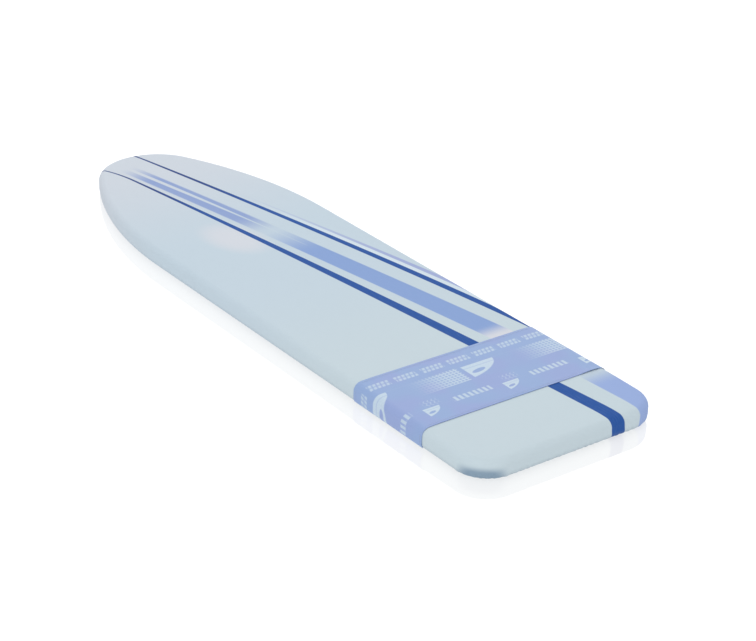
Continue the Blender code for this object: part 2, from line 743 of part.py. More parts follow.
def main():
    """Build every piece of the board."""
    clear_scene()
    print_cloth = finish("cover_print", (0.57, 0.66, 0.72), 0.85)
    band_cloth = finish("band_cloth", (0.33, 0.44, 0.70), 0.75)
    hem_tape = finish("hem_tape", (0.62, 0.70, 0.77), 0.90)
    white_cord = finish("white_cord", (0.80, 0.80, 0.78), 0.85)
    foam = finish("foam", (0.82, 0.81, 0.76), 0.95)
    felt = finish("felt", (0.55, 0.56, 0.57), 0.95)
    coated_steel = finish("coated_steel", (0.70, 0.71, 0.72), 0.40, 0.3)
    bare_steel = finish("bare_steel", (0.62, 0.63, 0.65), 0.35, 1.0)
    pale_plastic = finish("pale_plastic", (0.60, 0.62, 0.64), 0.55)
    blue_plastic = finish("blue_plastic", (0.07, 0.14, 0.42), 0.45)

    make_cover(print_cloth)
    make_band(band_cloth)
    make_foam(foam)
    make_felt(felt)
    make_hem(hem_tape)
    make_drawcord(white_cord)
    make_cord_lock(pale_plastic, blue_plastic, bare_steel)
    make_rim(coated_steel, bare_steel)
    make_deck(coated_steel)
    make_cross_bars(coated_steel)
    make_rack_rails(coated_steel)
    make_leg_brackets(bare_steel)
    make_rivets(bare_steel)
    make_latch_housing(pale_plastic)
    make_latch_slider(blue_plastic, bare_steel)


main()
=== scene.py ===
"""Visual model of a padded ironing board top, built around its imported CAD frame.

Every length is in metres, in the frame of the CAD model: the nose points to -X, the
square wide end to +X, and the board lies on the floor at Z = 0.
"""

from __future__ import annotations

import logging
import math
from dataclasses import dataclass, field
from enum import Enum
from typing import Callable, Iterable, Sequence, Union

import bmesh
import bpy
from bmesh.types import BMesh, BMFace, BMVert
from mathutils import Matrix, Vector

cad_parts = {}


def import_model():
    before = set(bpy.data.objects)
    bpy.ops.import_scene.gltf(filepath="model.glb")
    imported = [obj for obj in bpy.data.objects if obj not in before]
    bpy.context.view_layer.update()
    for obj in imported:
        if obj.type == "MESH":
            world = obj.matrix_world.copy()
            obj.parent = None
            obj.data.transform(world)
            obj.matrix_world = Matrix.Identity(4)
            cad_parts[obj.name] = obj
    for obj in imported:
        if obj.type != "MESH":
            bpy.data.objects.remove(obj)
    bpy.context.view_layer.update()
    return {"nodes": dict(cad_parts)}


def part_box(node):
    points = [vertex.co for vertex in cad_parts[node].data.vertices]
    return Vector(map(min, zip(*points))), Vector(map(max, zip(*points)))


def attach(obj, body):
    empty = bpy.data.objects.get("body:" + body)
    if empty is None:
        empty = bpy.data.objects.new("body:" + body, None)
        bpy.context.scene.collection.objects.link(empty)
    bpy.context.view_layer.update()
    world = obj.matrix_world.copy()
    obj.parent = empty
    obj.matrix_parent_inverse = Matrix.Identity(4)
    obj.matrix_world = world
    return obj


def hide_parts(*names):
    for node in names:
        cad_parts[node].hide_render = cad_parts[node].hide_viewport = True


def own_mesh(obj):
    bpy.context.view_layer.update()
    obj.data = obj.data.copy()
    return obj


LOG = logging.getLogger("board_top")
Colour = tuple[float, float, float]


def from_screen(red: int, green: int, blue: int) -> Colour:
    """Turn a colour as it is seen on a screen into linear values.

    Args:
        red: Red, from 0 to 255.
        green: Green, from 0 to 255.
        blue: Blue, from 0 to 255.

    Returns:
        The three linear values.
    """

    def linear(value: int) -> float:
        """Undo the screen's curve for one value."""
        share = value / 255
        return share / 12.92 if share <= 0.04045 else ((share + 0.055) / 1.055) ** 2.4

    return linear(red), linear(green), linear(blue)


class Body(Enum):
    """The CAD bodies that a piece can ride on."""

    BOARD = "board"
    LATCH = "latch"
    PLUNGER = "lock_plunger"


class Slot(Enum):
    """The finishes named in the record."""

    COVER_PRINT = "cover_print"
    BAND_CLOTH = "band_cloth"
    HEM_TAPE = "hem_tape"
    WHITE_CORD = "white_cord"
    FOAM = "foam"
    FELT = "felt"
    COATED_STEEL = "coated_steel"
    BARE_STEEL = "bare_steel"
    SPRING_STEEL = "spring_steel"
    PALE_PLASTIC = "pale_plastic"
    BLUE_PLASTIC = "blue_plastic"


# ---- material building ------------------------------------------------------


class Field:
    """A number that changes over a surface, which can be added, scaled and compared."""

    def __init__(self, paint: "Paint", socket: bpy.types.NodeSocket) -> None:
        """Hold one output of the node tree that paint builds."""
        self.paint = paint
        self.socket = socket

    def apply(self, operation: str, *others: Union["Field", float], clamp: bool = False) -> "Field":
        """Add a Math node that works on this field.

        Args:
            operation: The Math node's operation.
            others: The second and third inputs.
            clamp: Whether the result is kept between 0 and 1.

        Returns:
            The node's output.
        """
        node = self.paint.node("ShaderNodeMath")
        node.operation = operation
        node.use_clamp = clamp
        self.paint.feed(node.inputs[0], self)
        for index, other in enumerate(others):
            self.paint.feed(node.inputs[index + 1], other)
        return Field(self.paint, node.outputs[0])

    def __add__(self, other: Union["Field", float]) -> "Field":
        """Sum."""
        return self.apply("ADD", other)

    def __radd__(self, other: float) -> "Field":
        """Sum with a number on the left."""
        return self.apply("ADD", other)

    def __sub__(self, other: Union["Field", float]) -> "Field":
        """Difference."""
        return self.apply("SUBTRACT", other)

    def __rsub__(self, other: float) -> "Field":
        """Difference from a number."""
        return self.apply("MULTIPLY", -1.0).apply("ADD", other)

    def __mul__(self, other: Union["Field", float]) -> "Field":
        """Product."""
        return self.apply("MULTIPLY", other)

    def __rmul__(self, other: float) -> "Field":
        """Product with a number on the left."""
        return self.apply("MULTIPLY", other)

    def __truediv__(self, other: float) -> "Field":
        """Quotient by a number."""
        return self.apply("MULTIPLY", 1.0 / other)

    def size(self) -> "Field":
        """The value without its sign."""
        return self.apply("ABSOLUTE")

    def sine(self) -> "Field":
        """The sine of the value in radians."""
        return self.apply("SINE")

    def most(self, other: Union["Field", float]) -> "Field":
        """The higher of the two."""
        return self.apply("MAXIMUM", other)

    def root(self) -> "Field":
        """The square root."""
        return self.apply("SQRT")

    def repeat(self, period: float) -> "Field":
        """The place inside a period that repeats for ever, from 0 to that period."""
        return self.apply("DIVIDE", period).apply("FLOORED_MODULO", 1.0).apply("MULTIPLY", period)

    def rising(self, low: float, high: float) -> "Field":
        """0 up to low, 1 from high, and a smooth step between them."""
        node = self.paint.node("ShaderNodeMapRange")
        node.interpolation_type = "SMOOTHSTEP"
        node.clamp = True
        self.paint.feed(node.inputs["Value"], self)
        node.inputs["From Min"].default_value = low
        node.inputs["From Max"].default_value = high
        return Field(self.paint, node.outputs["Result"])

    def falling(self, low: float, high: float) -> "Field":
        """1 up to low, 0 from high, and a smooth step between them."""
        return 1.0 - self.rising(low, high)

    def within(self, low: float, high: float, soft: float) -> "Field":
        """1 between low and high and 0 outside, with edges that are soft wide."""
        half = soft / 2
        return self.rising(low - half, low + half) * self.falling(high - half, high + half)


Tint = Union[Colour, bpy.types.NodeSocket]


class Paint:
    """Builds one material from nodes around a Principled shader."""

    def __init__(self, name: str) -> None:
        """Start an empty material with its shader and output."""
        self.material = bpy.data.materials.new(name)
        self.material.use_nodes = True
        self.tree = self.material.node_tree
        self.tree.nodes.clear()
        self.shader = self.node("ShaderNodeBsdfPrincipled")
        output = self.node("ShaderNodeOutputMaterial")
        self.tree.links.new(self.shader.outputs["BSDF"], output.inputs["Surface"])

    def node(self, kind: str) -> bpy.types.Node:
        """Add a node of that kind."""
        return self.tree.nodes.new(kind)

    def feed(self, socket: bpy.types.NodeSocket, value: object) -> None:
        """Link or set an input.

        Args:
            socket: The input.
            value: A field, an output, a number or a colour.
        """
        if isinstance(value, Field):
            self.tree.links.new(value.socket, socket)
        elif isinstance(value, bpy.types.NodeSocket):
            self.tree.links.new(value, socket)
        elif isinstance(value, (tuple, list)):
            socket.default_value = (*value, 1.0)[: len(socket.default_value)]
        else:
            socket.default_value = value

    def split(self, socket: bpy.types.NodeSocket) -> tuple[Field, Field, Field]:
        """The three parts of a vector output."""
        node = self.node("ShaderNodeSeparateXYZ")
        self.tree.links.new(socket, node.inputs[0])
        return Field(self, node.outputs[0]), Field(self, node.outputs[1]), Field(self, node.outputs[2])

    def place(self) -> bpy.types.NodeSocket:
        """The point in the piece's own coordinates."""
        return self.node("ShaderNodeTexCoord").outputs["Object"]

    def cut(self, name: str) -> bpy.types.NodeSocket:
        """The point on the flat cut of the cloth, from the piece's UV map of that name."""
        node = self.node("ShaderNodeUVMap")
        node.uv_map = name
        return node.outputs["UV"]

    def noise(
        self,
        where: bpy.types.NodeSocket,
        size: float,
        detail: float = 2.0,
        stretch: Colour = (1.0, 1.0, 1.0),
        rough: float = 0.5,
    ) -> Field:
        """Add a noise texture.

        Args:
            where: The coordinates that it reads.
            size: How far apart its features are, in metres.
            detail: How many finer layers it has.
            stretch: How many times longer the features are along each axis.
            rough: How strong the finer layers are.

        Returns:
            A field around 0.5.
        """
        mapping = self.node("ShaderNodeMapping")
        self.tree.links.new(where, mapping.inputs["Vector"])
        mapping.inputs["Scale"].default_value = tuple(1.0 / s for s in stretch)
        node = self.node("ShaderNodeTexNoise")
        self.tree.links.new(mapping.outputs[0], node.inputs["Vector"])
        node.inputs["Scale"].default_value = 1.0 / size
        node.inputs["Detail"].default_value = detail
        node.inputs["Roughness"].default_value = rough
        return Field(self, node.outputs["Fac"])

    def cells(self, where: bpy.types.NodeSocket, size: float, edge: bool = False) -> Field:
        """Add a cell texture.

        Args:
            where: The coordinates that it reads.
            size: How far apart the cells are, in metres.
            edge: Whether it gives the distance to the cell's edge and not to its middle.

        Returns:
            The distance, in cells.
        """
        node = self.node("ShaderNodeTexVoronoi")
        node.feature = "DISTANCE_TO_EDGE" if edge else "F1"
        self.tree.links.new(where, node.inputs["Vector"])
        node.inputs["Scale"].default_value = 1.0 / size
        return Field(self, node.outputs["Distance"])

    def over(self, under: Tint, colour: Tint, share: Union[Field, float]) -> bpy.types.NodeSocket:
        """Lay one colour over another.

        Args:
            under: The colour below.
            colour: The colour laid over it.
            share: How much of it covers, from 0 to 1.

        Returns:
            The mixed colour.
        """
        node = self.node("ShaderNodeMix")
        node.data_type = "RGBA"
        node.clamp_factor = True
        self.feed(node.inputs[0], share)
        self.feed(node.inputs[6], under)
        self.feed(node.inputs[7], colour)
        return node.outputs[2]

    def finish(
        self,
        colour: Tint,
        rough: Union[Field, float],
        height: Field | None = None,
        depth: float = 0.0001,
        strength: float = 1.0,
        **constants: float,
    ) -> bpy.types.Material:
        """Connect the shader and return the material.

        Args:
            colour: The base colour.
            rough: The roughness.
            height: The relief, from 0 to 1.
            depth: How high the relief stands, in metres.
            strength: The relief's strength.
            constants: The shader's other inputs, with _ for each space.

        Returns:
            The finished material.
        """
        self.feed(self.shader.inputs["Base Color"], colour)
        self.feed(self.shader.inputs["Roughness"], rough)
        for name, value in constants.items():
            socket = self.shader.inputs[name.replace("_", " ")]
            self.feed(socket, value)
        if height is not None:
            bump = self.node("ShaderNodeBump")
            bump.inputs["Strength"].default_value = strength
            bump.inputs["Distance"].default_value = depth
            self.feed(bump.inputs["Height"], height)
            self.tree.links.new(bump.outputs[0], self.shader.inputs["Normal"])
        return self.material


def plain_weave(along: Field, across: Field, pitch: float) -> Field:
    """Relief of threads that pass over and under each other.

    Args:
        along: The place along the cloth.
        across: The place across it.
        pitch: The distance between two threads.

    Returns:
        A height from 0 to 1.
    """
    turn = math.pi / pitch
    warp = (along * turn).sine() * (across * turn).sine()
    ridge = (along * (2 * turn)).sine() * 0.25 + (across * (2 * turn)).sine() * 0.25
    return warp * 0.3 + ridge * 0.4 + 0.5


# ---- finishes ---------------------------------------------------------------


STATION = 0.450  # the stripes' edges are set out at this distance before and behind the middle


@dataclass(frozen=True)
class StripeEdge:
    """One edge of a printed stripe, set out from the middle line at three stations.

    Attributes:
        nose: The offset at the station near the nose.
        middle: The offset at mid length.
        wide: The offset at the station near the wide end.
    """

    nose: float
    middle: float
    wide: float

    def offset(self, x: Field) -> Field:
        """The edge's distance from the middle line at x."""
        bend = (self.nose + self.wide - 2 * self.middle) / (2 * STATION**2)
        slope = (self.wide - self.nose) / (2 * STATION)
        return (x * bend + slope) * x + self.middle


@dataclass(frozen=True)
class Stripe:
    """One printed stripe between two edges.

    Attributes:
        far: The edge on the right side.
        near: The edge on the left side.
        colour: The ink.
        soft: The width over which each edge fades.
        spans: Stretches along the board where the ink is laid, each as the places where it
            starts, is full, starts to fade and is gone.
        ink: How much of the ink covers.
        bend: How sharply it turns to the left side before the nose.
    """

    far: StripeEdge
    near: StripeEdge
    colour: Colour
    soft: float = 0.0012
    spans: tuple[tuple[float, float, float, float], ...] = ((-0.70, -0.69, 0.70, 0.71),)
    ink: float = 1.0
    bend: float = 0.0

    def mask(self, x: Field, y: Field) -> Field:
        """Where the stripe covers the cloth, from 0 to 1."""
        half = self.soft / 2
        if self.bend:
            past = (x * -1.0 - STATION).most(0.0)
            y = past * past * self.bend + y
        body = (y - self.near.offset(x)).rising(-half, half)
        body = body * (self.far.offset(x) - y).rising(-half, half)
        laid = None
        for start, full, fade, gone in self.spans:
            span = x.rising(start, full) * x.falling(fade, gone)
            laid = span if laid is None else laid.most(span)
        return body * laid * self.ink


@dataclass(frozen=True)
class PrintedCotton:
    """Pale blue cotton with a fan of printed stripes, which follow the flat cut.

    Painted shade darkens the cloth where it turns under, in the hollow of each gather and at the left rear
    corner.
    """

    ground: Colour = from_screen(200, 214, 221)
    nose_ground: Colour = from_screen(207, 214, 223)
    front_ground: Colour = from_screen(197, 212, 223)
    deep_blue: Colour = from_screen(46, 88, 160)
    nose_blue: Colour = from_screen(48, 74, 134)
    sky: Colour = from_screen(139, 165, 213)
    streak: Colour = from_screen(143, 163, 209)
    lavender: Colour = from_screen(160, 172, 214)
    pale: Colour = from_screen(216, 228, 238)
    # used both for the printed fade at the end of the broad stripe and for the painted highlight near mid
    # length
    blush: Colour = from_screen(218, 219, 226)
    periwinkle: Colour = from_screen(155, 176, 222)
    # painted shade for the lower side of the left rear corner
    painted_corner_shade: Colour = from_screen(128, 151, 172)
    # painted shade: the tint that the cloth is darkened towards near the bottom, where it turns under
    under: Colour = from_screen(124, 138, 154)
    # painted shade for the hollows between the gathers
    painted_fold_shade: Colour = from_screen(70, 84, 104)
    thread_pitch: float = 0.0007

    def stripes(self) -> list[Stripe]:
        """The stripes from the bottom layer up."""
        broad_far = StripeEdge(-0.007, 0.0705, 0.137)
        broad_near = StripeEdge(-0.036, 0.036, 0.096)
        return [
            Stripe(
                StripeEdge(0.0375, 0.1185, 0.1845), StripeEdge(0.0285, 0.11, 0.173), self.pale,
                0.004, ((-0.30, -0.10, 0.25, 0.30),), 0.75,
            ),
            Stripe(
                StripeEdge(0.039, 0.1255, 0.202), StripeEdge(0.037, 0.1185, 0.1845), self.lavender,
                0.0025, ((-0.36, 0.03, 0.70, 0.71),), 0.95,
            ),
            Stripe(
                broad_far, broad_near, self.streak,
                0.004, ((-0.505, -0.43, -0.24, -0.16),), 0.95,
            ),
            Stripe(
                broad_far, broad_near, self.blush,
                0.004, ((0.245, 0.262, 0.300, 0.310),), 0.9,
            ),
            Stripe(
                broad_far, broad_near, self.sky,
                0.0025, ((-0.185, -0.07, 0.256, 0.291),), 1.0,
            ),
            Stripe(
                StripeEdge(0.0285, 0.11, 0.173), StripeEdge(0.0235, 0.0995, 0.161), self.deep_blue,
            ),
            Stripe(
                StripeEdge(-0.0435, 0.0205, 0.072), StripeEdge(-0.0475, 0.008, 0.052),
                self.deep_blue, bend=2.0,
            ),
        ]

    def material(self) -> bpy.types.Material:
        """Build the material."""
        paint = Paint("printed_cotton")
        cut = paint.cut("cut")
        x, y, _ = paint.split(cut)
        _, _, z = paint.split(paint.place())
        flat = BoardOutline()
        ground = paint.over(self.nose_ground, self.front_ground, x.rising(-0.50, -0.15))
        ground = paint.over(ground, self.ground, x.rising(-0.05, 0.30))
        # Painted highlight: a soft pale pink oval on the top near mid length, mixed into the colour.
        painted_highlight_x = (x + 0.175) / 0.075
        painted_highlight_y = (y + 0.012 - x * 0.12) / 0.050
        painted_highlight = (painted_highlight_x * painted_highlight_x + painted_highlight_y * painted_highlight_y).falling(0.0, 1.0)
        weave = plain_weave(x, y, self.thread_pitch)
        slub = paint.noise(cut, 0.0035, 3.0, (4.0, 0.6, 1.0))
        cloud = paint.noise(cut, 0.090, 2.0)
        shade = weave * 0.10 + slub * 0.22 + cloud * 0.18
        ground = paint.over(ground, from_screen(160, 178, 196), shade.rising(0.20, 0.62) * 0.13)
        # The painted highlight is laid over the ground here.
        colour = paint.over(ground, self.blush, painted_highlight * 0.75)
        gap = StripeEdge(-0.0195, 0.056, 0.109)
        gap_half = x.falling(-0.42, -0.09) * 0.0034 + 0.0002
        for stripe in self.stripes():
            share = stripe.mask(x, y)
            if stripe.colour in (self.streak, self.sky):
                line = ((y - gap.offset(x)).size() - gap_half).rising(-0.001, 0.001)
                line = line.most(x.rising(-0.12, -0.09))
                share = share * line
            ink = stripe.colour
            if ink == self.deep_blue:
                ink = paint.over(self.nose_blue, self.deep_blue, x.rising(-0.42, -0.25))
            colour = paint.over(colour, ink, share * (1.0 - slub.rising(0.45, 0.85) * 0.05))
        corner = (y - x * 0.06).rising(0.0755, 0.0775) * x.rising(0.43, 0.475)
        colour = paint.over(colour, self.periwinkle, corner)
        # Painted shade: darker towards the bottom, where the cloth turns under the board.
        low = z.falling(0.0020, 0.0125)
        colour = paint.over(colour, self.under, low * 0.30)
        # Painted shade on the lower side of the left rear corner, where the gathered cloth turns under.
        turn_x = (x - flat.corner_x).most(0.0)
        turn_y = (y.size() - flat.corner_y).most(0.0)
        away = (turn_x * turn_x + turn_y * turn_y + 0.000001).root()
        beyond = away - flat.corner_radius
        painted_corner_shade_share = beyond.rising(0.003, 0.015) * beyond.falling(0.020, 0.030)
        painted_corner_shade_share = painted_corner_shade_share * (turn_x * turn_y * (1.0 / flat.corner_radius**2)).rising(0.02, 0.75)
        colour = paint.over(colour, self.painted_corner_shade, painted_corner_shade_share * y.falling(-0.02, 0.0) * 0.9)
        # Painted shade in the hollows between the gathers, read from a UV map that build_cover fills.
        crease, _, _ = paint.split(paint.cut("folds"))
        colour = paint.over(colour, self.painted_fold_shade, crease * 0.42)
        worn = paint.noise(paint.place(), 0.025, 3.0)
        return paint.finish(
            colour,
            worn * 0.10 + 0.72,
            weave * 0.6 + slub * 0.4,
            0.00012,
            0.55,
            Specular_IOR_Level=0.10,
        )


@dataclass(frozen=True)
class BandCloth:
    """Blue heat-resistant cloth with a repeating plain pattern in a paler ink."""

    violet: Colour = from_screen(153, 170, 216)
    clear: Colour = from_screen(150, 174, 216)
    ink: Colour = from_screen(205, 222, 233)
    start: float = 0.2935

    def bars(self, x: Field, y: Field) -> Field:
        """Column of short plain bars next to the edge nearer to the nose."""
        place = (y - 0.0260).repeat(0.0427)
        body = place.within(0.0, 0.0340, 0.0020)
        teeth = ((y + x * 0.35).repeat(0.0066)).within(0.0006, 0.0050, 0.0018)
        width = x.within(self.start + 0.0165, self.start + 0.0290, 0.0014)
        waist = (x - self.start - 0.0228).size().rising(0.0006, 0.0022)
        return body * width * (teeth.most(0.20)) * (waist * 0.45 + 0.30)

    def long_bars(self, x: Field, y: Field) -> Field:
        """Column of upright dashes next to the other edge."""
        place = (y + 0.0105).repeat(0.1280)
        body = place.within(0.0655, 0.1270, 0.0020)
        dashes = y.repeat(0.0078).within(0.0004, 0.0048, 0.0014)
        width = x.within(self.start + 0.1005, self.start + 0.1115, 0.0016)
        foot = x.within(self.start + 0.1085, self.start + 0.1115, 0.0010)
        return body * width * dashes.most(foot * 0.25) * 0.85

    def iron(
        self, x: Field, y: Field, left: float, back: float, length: float, height: float
    ) -> Field:
        """A plain iron seen from the side, its sole towards the nose.

        Args:
            x: The place along the board.
            y: The place across it, already repeated.
            left: Where the sole lies along the board.
            back: Where the heel lies.
            length: From heel to point.
            height: From sole to handle.

        Returns:
            Where it is printed.
        """
        along = (y - back) / length
        above = (x - left) / height
        top = (1.0 - along * along).most(0.0).root() * (1.0 - along * 0.18)
        body = (top - above).rising(-0.03, 0.05) * above.rising(-0.02, 0.04) * along.rising(-0.01, 0.03)
        hole_along = (along - 0.32) / 0.22
        hole_above = (above - 0.66 + along * 0.22) / 0.13
        hole = (hole_along * hole_along + hole_above * hole_above).rising(0.75, 1.15)
        slit = above.within(0.20, 0.26, 0.03) * 0.35
        return body * hole * (1.0 - slit)

    def grid(self, x: Field, y: Field) -> Field:
        """A field of small squares that fades away from the iron."""
        place = (y + 0.1060).repeat(0.1730)
        fade = place.rising(0.0, 0.0700) * place.falling(0.0860, 0.0880)
        width = x.within(self.start + 0.0405, self.start + 0.0765, 0.0010)
        thread_x = x.repeat(0.0052).within(0.0010, 0.0042, 0.0010)
        thread_y = y.repeat(0.0056).within(0.0010, 0.0046, 0.0010)
        return fade * width * (1.0 - thread_x * thread_y * 0.85)

    def badge(self, x: Field, y: Field) -> Field:
        """A small plain iron over three short waves of steam."""
        place = (y - 0.0050).repeat(0.1280)
        body = self.iron(x, place, self.start + 0.1060, 0.0010, 0.0260, 0.0190)
        wave = ((x * 900.0).sine() * 0.0012 + place).repeat(0.0062).within(0.0016, 0.0036, 0.0014)
        steam = wave * x.within(self.start + 0.0890, self.start + 0.1030, 0.0030)
        steam = steam * place.within(0.0100, 0.0330, 0.0060) * 0.45
        return body.most(steam)

    def material(self) -> bpy.types.Material:
        """Build the material."""
        paint = Paint("band_cloth")
        cut = paint.cut("cut")
        x, y, _ = paint.split(cut)
        drift = paint.noise(cut, 0.060, 1.0)
        colour = paint.over(self.violet, self.clear, drift.rising(0.40, 0.60))
        place = (y + 0.0120).repeat(0.1730)
        iron = self.iron(x, place, self.start + 0.0420, 0.0, 0.0530, 0.0320)
        print_mask = self.bars(x, y).most(self.long_bars(x, y)).most(iron)
        print_mask = print_mask.most(self.grid(x, y) * 0.85).most(self.badge(x, y))
        uneven = paint.noise(cut, 0.0016, 2.0)
        colour = paint.over(colour, self.ink, print_mask * (uneven * 0.5 + 0.62))
        weave = plain_weave(x + y * 0.5, y, 0.0009)
        colour = paint.over(colour, from_screen(120, 140, 190), weave * 0.10)
        slub = paint.noise(cut, 0.0030, 2.0, (0.6, 4.0, 1.0))
        return paint.finish(
            colour,
            slub * 0.12 + 0.50,
            weave * 0.7 + slub * 0.3,
            0.00012,
            0.6,
            Specular_IOR_Level=0.25,
        )


@dataclass(frozen=True)
class WovenTape:
    """Soft white cotton tape with a chevron weave."""

    tint: Colour = from_screen(226, 229, 233)
    shade: Colour = from_screen(178, 186, 198)

    def material(self) -> bpy.types.Material:
        """Build the material."""
        paint = Paint("hem_tape")
        where = paint.place()
        x, y, _ = paint.split(where)
        zigzag = (y.repeat(0.0030) - 0.0015).size() + x
        rib = zigzag.repeat(0.0008).within(0.0001, 0.0006, 0.0002)
        fluff = paint.noise(where, 0.0009, 3.0)
        colour = paint.over(self.tint, self.shade, (1.0 - rib) * 0.45 + fluff * 0.25)
        soiled = paint.noise(where, 0.050, 3.0).rising(0.52, 0.75)
        colour = paint.over(colour, from_screen(200, 200, 198), soiled * 0.35)
        relief = rib * 0.7 + fluff * 0.3
        return paint.finish(colour, fluff * 0.1 + 0.80, relief, 0.00015, 0.6, Sheen_Weight=0.15)


@dataclass(frozen=True)
class Thread:
    """Twisted sewing thread."""

    name: str
    tint: Colour

    def material(self) -> bpy.types.Material:
        """Build the material."""
        paint = Paint(self.name)
        where = paint.place()
        x, y, z = paint.split(where)
        ply = ((x + y + z) * (2 * math.pi / 0.0005)).sine() * 0.5 + 0.5
        fluff = paint.noise(where, 0.0004, 2.0)
        dark = tuple(v * 0.62 for v in self.tint)
        colour = paint.over(self.tint, dark, (1.0 - ply) * 0.5 + fluff * 0.15)
        return paint.finish(colour, fluff * 0.15 + 0.50, ply, 0.00008, 0.6, Sheen_Weight=0.2)


@dataclass(frozen=True)
class BraidedCord:
    """White polyester cord, braided, whose pattern follows the cord."""

    tint: Colour = from_screen(236, 238, 240)
    shade: Colour = from_screen(160, 168, 180)
    length: float = 1.0
    lay: float = 0.0048

    def material(self) -> bpy.types.Material:
        """Build the material."""
        paint = Paint("braided_cord")
        along, around, _ = paint.split(paint.cut("UVMap"))
        turns = along * (self.length / self.lay)
        one = ((turns + around * 4.0) * (2 * math.pi)).sine()
        other = ((turns - around * 4.0) * (2 * math.pi)).sine()
        plait = one.most(other) * 0.5 + 0.5
        fluff = paint.noise(paint.place(), 0.0005, 2.0)
        colour = paint.over(self.shade, self.tint, plait.rising(0.45, 0.95))
        colour = paint.over(colour, from_screen(214, 214, 210), fluff.rising(0.5, 0.8) * 0.5)
        return paint.finish(colour, fluff * 0.15 + 0.55, plait, 0.0003, 0.8, Sheen_Weight=0.2)


@dataclass(frozen=True)
class OpenFoam:
    """Pale open-cell foam."""

    tint: Colour = from_screen(238, 236, 222)
    pore: Colour = from_screen(190, 184, 158)

    def material(self) -> bpy.types.Material:
        """Build the material."""
        paint = Paint("open_foam")
        where = paint.place()
        wall = paint.cells(where, 0.0014, edge=True).rising(0.02, 0.22)
        coarse = paint.cells(where, 0.0032, edge=True).rising(0.0, 0.12)
        pores = wall * 0.7 + coarse * 0.3
        colour = paint.over(self.tint, self.pore, pores * 0.55)
        aged = paint.noise(where, 0.080, 3.0).rising(0.5, 0.8)
        colour = paint.over(colour, from_screen(228, 214, 170), aged * 0.4)
        return paint.finish(colour, pores * 0.05 + 0.9, 1.0 - pores, 0.0004, 0.7, Sheen_Weight=0.1)


@dataclass(frozen=True)
class PressedFelt:
    """Grey needle felt made from mixed fibres."""

    tint: Colour = from_screen(176, 178, 180)
    dark: Colour = from_screen(118, 122, 128)
    fleck: Colour = from_screen(206, 196, 186)

    def material(self) -> bpy.types.Material:
        """Build the material."""
        paint = Paint("pressed_felt")
        where = paint.place()
        long_fibre = paint.noise(where, 0.0016, 4.0, (3.0, 0.5, 1.0), 0.7)
        cross_fibre = paint.noise(where, 0.0016, 4.0, (0.5, 3.0, 1.0), 0.7)
        fibres = long_fibre.most(cross_fibre)
        colour = paint.over(self.dark, self.tint, fibres.rising(0.42, 0.68))
        flecks = paint.noise(where, 0.0030, 1.0, (2.5, 0.7, 1.0)).rising(0.66, 0.72)
        colour = paint.over(colour, self.fleck, flecks * 0.8)
        return paint.finish(colour, fibres * 0.05 + 0.92, fibres, 0.0004, 0.7, Sheen_Weight=0.25)


@dataclass(frozen=True)
class PowderCoat:
    """Powder coating on steel, with its fine orange-peel and a few rubbed spots."""

    name: str = "powder_coat"
    tint: Colour = from_screen(214, 217, 221)
    rub: Colour = from_screen(150, 152, 156)

    def material(self) -> bpy.types.Material:
        """Build the material."""
        paint = Paint(self.name)
        where = paint.place()
        peel = paint.noise(where, 0.0012, 2.0)
        dust = paint.noise(where, 0.030, 4.0)
        scuff = paint.noise(where, 0.010, 5.0, (6.0, 1.0, 1.0), 0.7).rising(0.64, 0.70)
        colour = paint.over(self.tint, tuple(v * 0.86 for v in self.tint), dust.rising(0.40, 0.70) * 0.6)
        colour = paint.over(colour, self.rub, scuff * 0.22)
        rough = peel * 0.12 + dust * 0.10 + 0.30
        return paint.finish(colour, rough, peel, 0.00008, 0.5, Specular_IOR_Level=0.5)


@dataclass(frozen=True)
class BareSteel:
    """Zinc-plated or drawn steel with fine lines."""

    name: str
    tint: Colour
    line_along: Colour
    rough: float = 0.28

    def material(self) -> bpy.types.Material:
        """Build the material."""
        paint = Paint(self.name)
        where = paint.place()
        lines = paint.noise(where, 0.0006, 3.0, self.line_along, 0.6)
        tarnish = paint.noise(where, 0.012, 4.0)
        colour = paint.over(self.tint, tuple(v * 0.72 for v in self.tint), tarnish.rising(0.45, 0.72) * 0.7)
        rough = lines * 0.16 + tarnish * 0.12 + (self.rough - 0.14)
        return paint.finish(colour, rough, lines, 0.00004, 0.4, Metallic=1.0)


@dataclass(frozen=True)
class MouldedPlastic:
    """Moulded plastic with a fine spark-eroded grain."""

    name: str
    tint: Colour
    grain: float = 0.0007

    def material(self) -> bpy.types.Material:
        """Build the material."""
        paint = Paint(self.name)
        where = paint.place()
        texture = paint.noise(where, self.grain, 3.0, (1.0, 1.0, 1.0), 0.7)
        flow = paint.noise(where, 0.012, 2.0, (3.0, 1.0, 1.0))
        colour = paint.over(self.tint, tuple(v * 0.84 for v in self.tint), flow.rising(0.35, 0.75) * 0.5)
        bright = tuple(min(1.0, v * 1.2 + 0.02) for v in self.tint)
        colour = paint.over(colour, bright, texture.rising(0.55, 0.8) * 0.3)
        rough = texture * 0.20 + 0.32
        return paint.finish(colour, rough, texture, 0.00006, 0.5, Specular_IOR_Level=0.5)


@dataclass(frozen=True)
class StudioFloor:
    """White, slightly glossy table top."""

    tint: Colour = (0.26, 0.26, 0.26)

    def material(self) -> bpy.types.Material:
        """Build the material."""
        paint = Paint("studio_floor")
        where = paint.place()
        haze = paint.noise(where, 0.40, 2.0)
        colour = paint.over(self.tint, tuple(v * 0.99 for v in self.tint), haze.rising(0.4, 0.7))
        return paint.finish(
            colour,
            haze * 0.01 + 0.02,
            IOR=1.9,
            Emission_Color=(1.0, 1.0, 1.0),
            Emission_Strength=0.66,
        )


# ---- the board's outline and the way round it -------------------------------


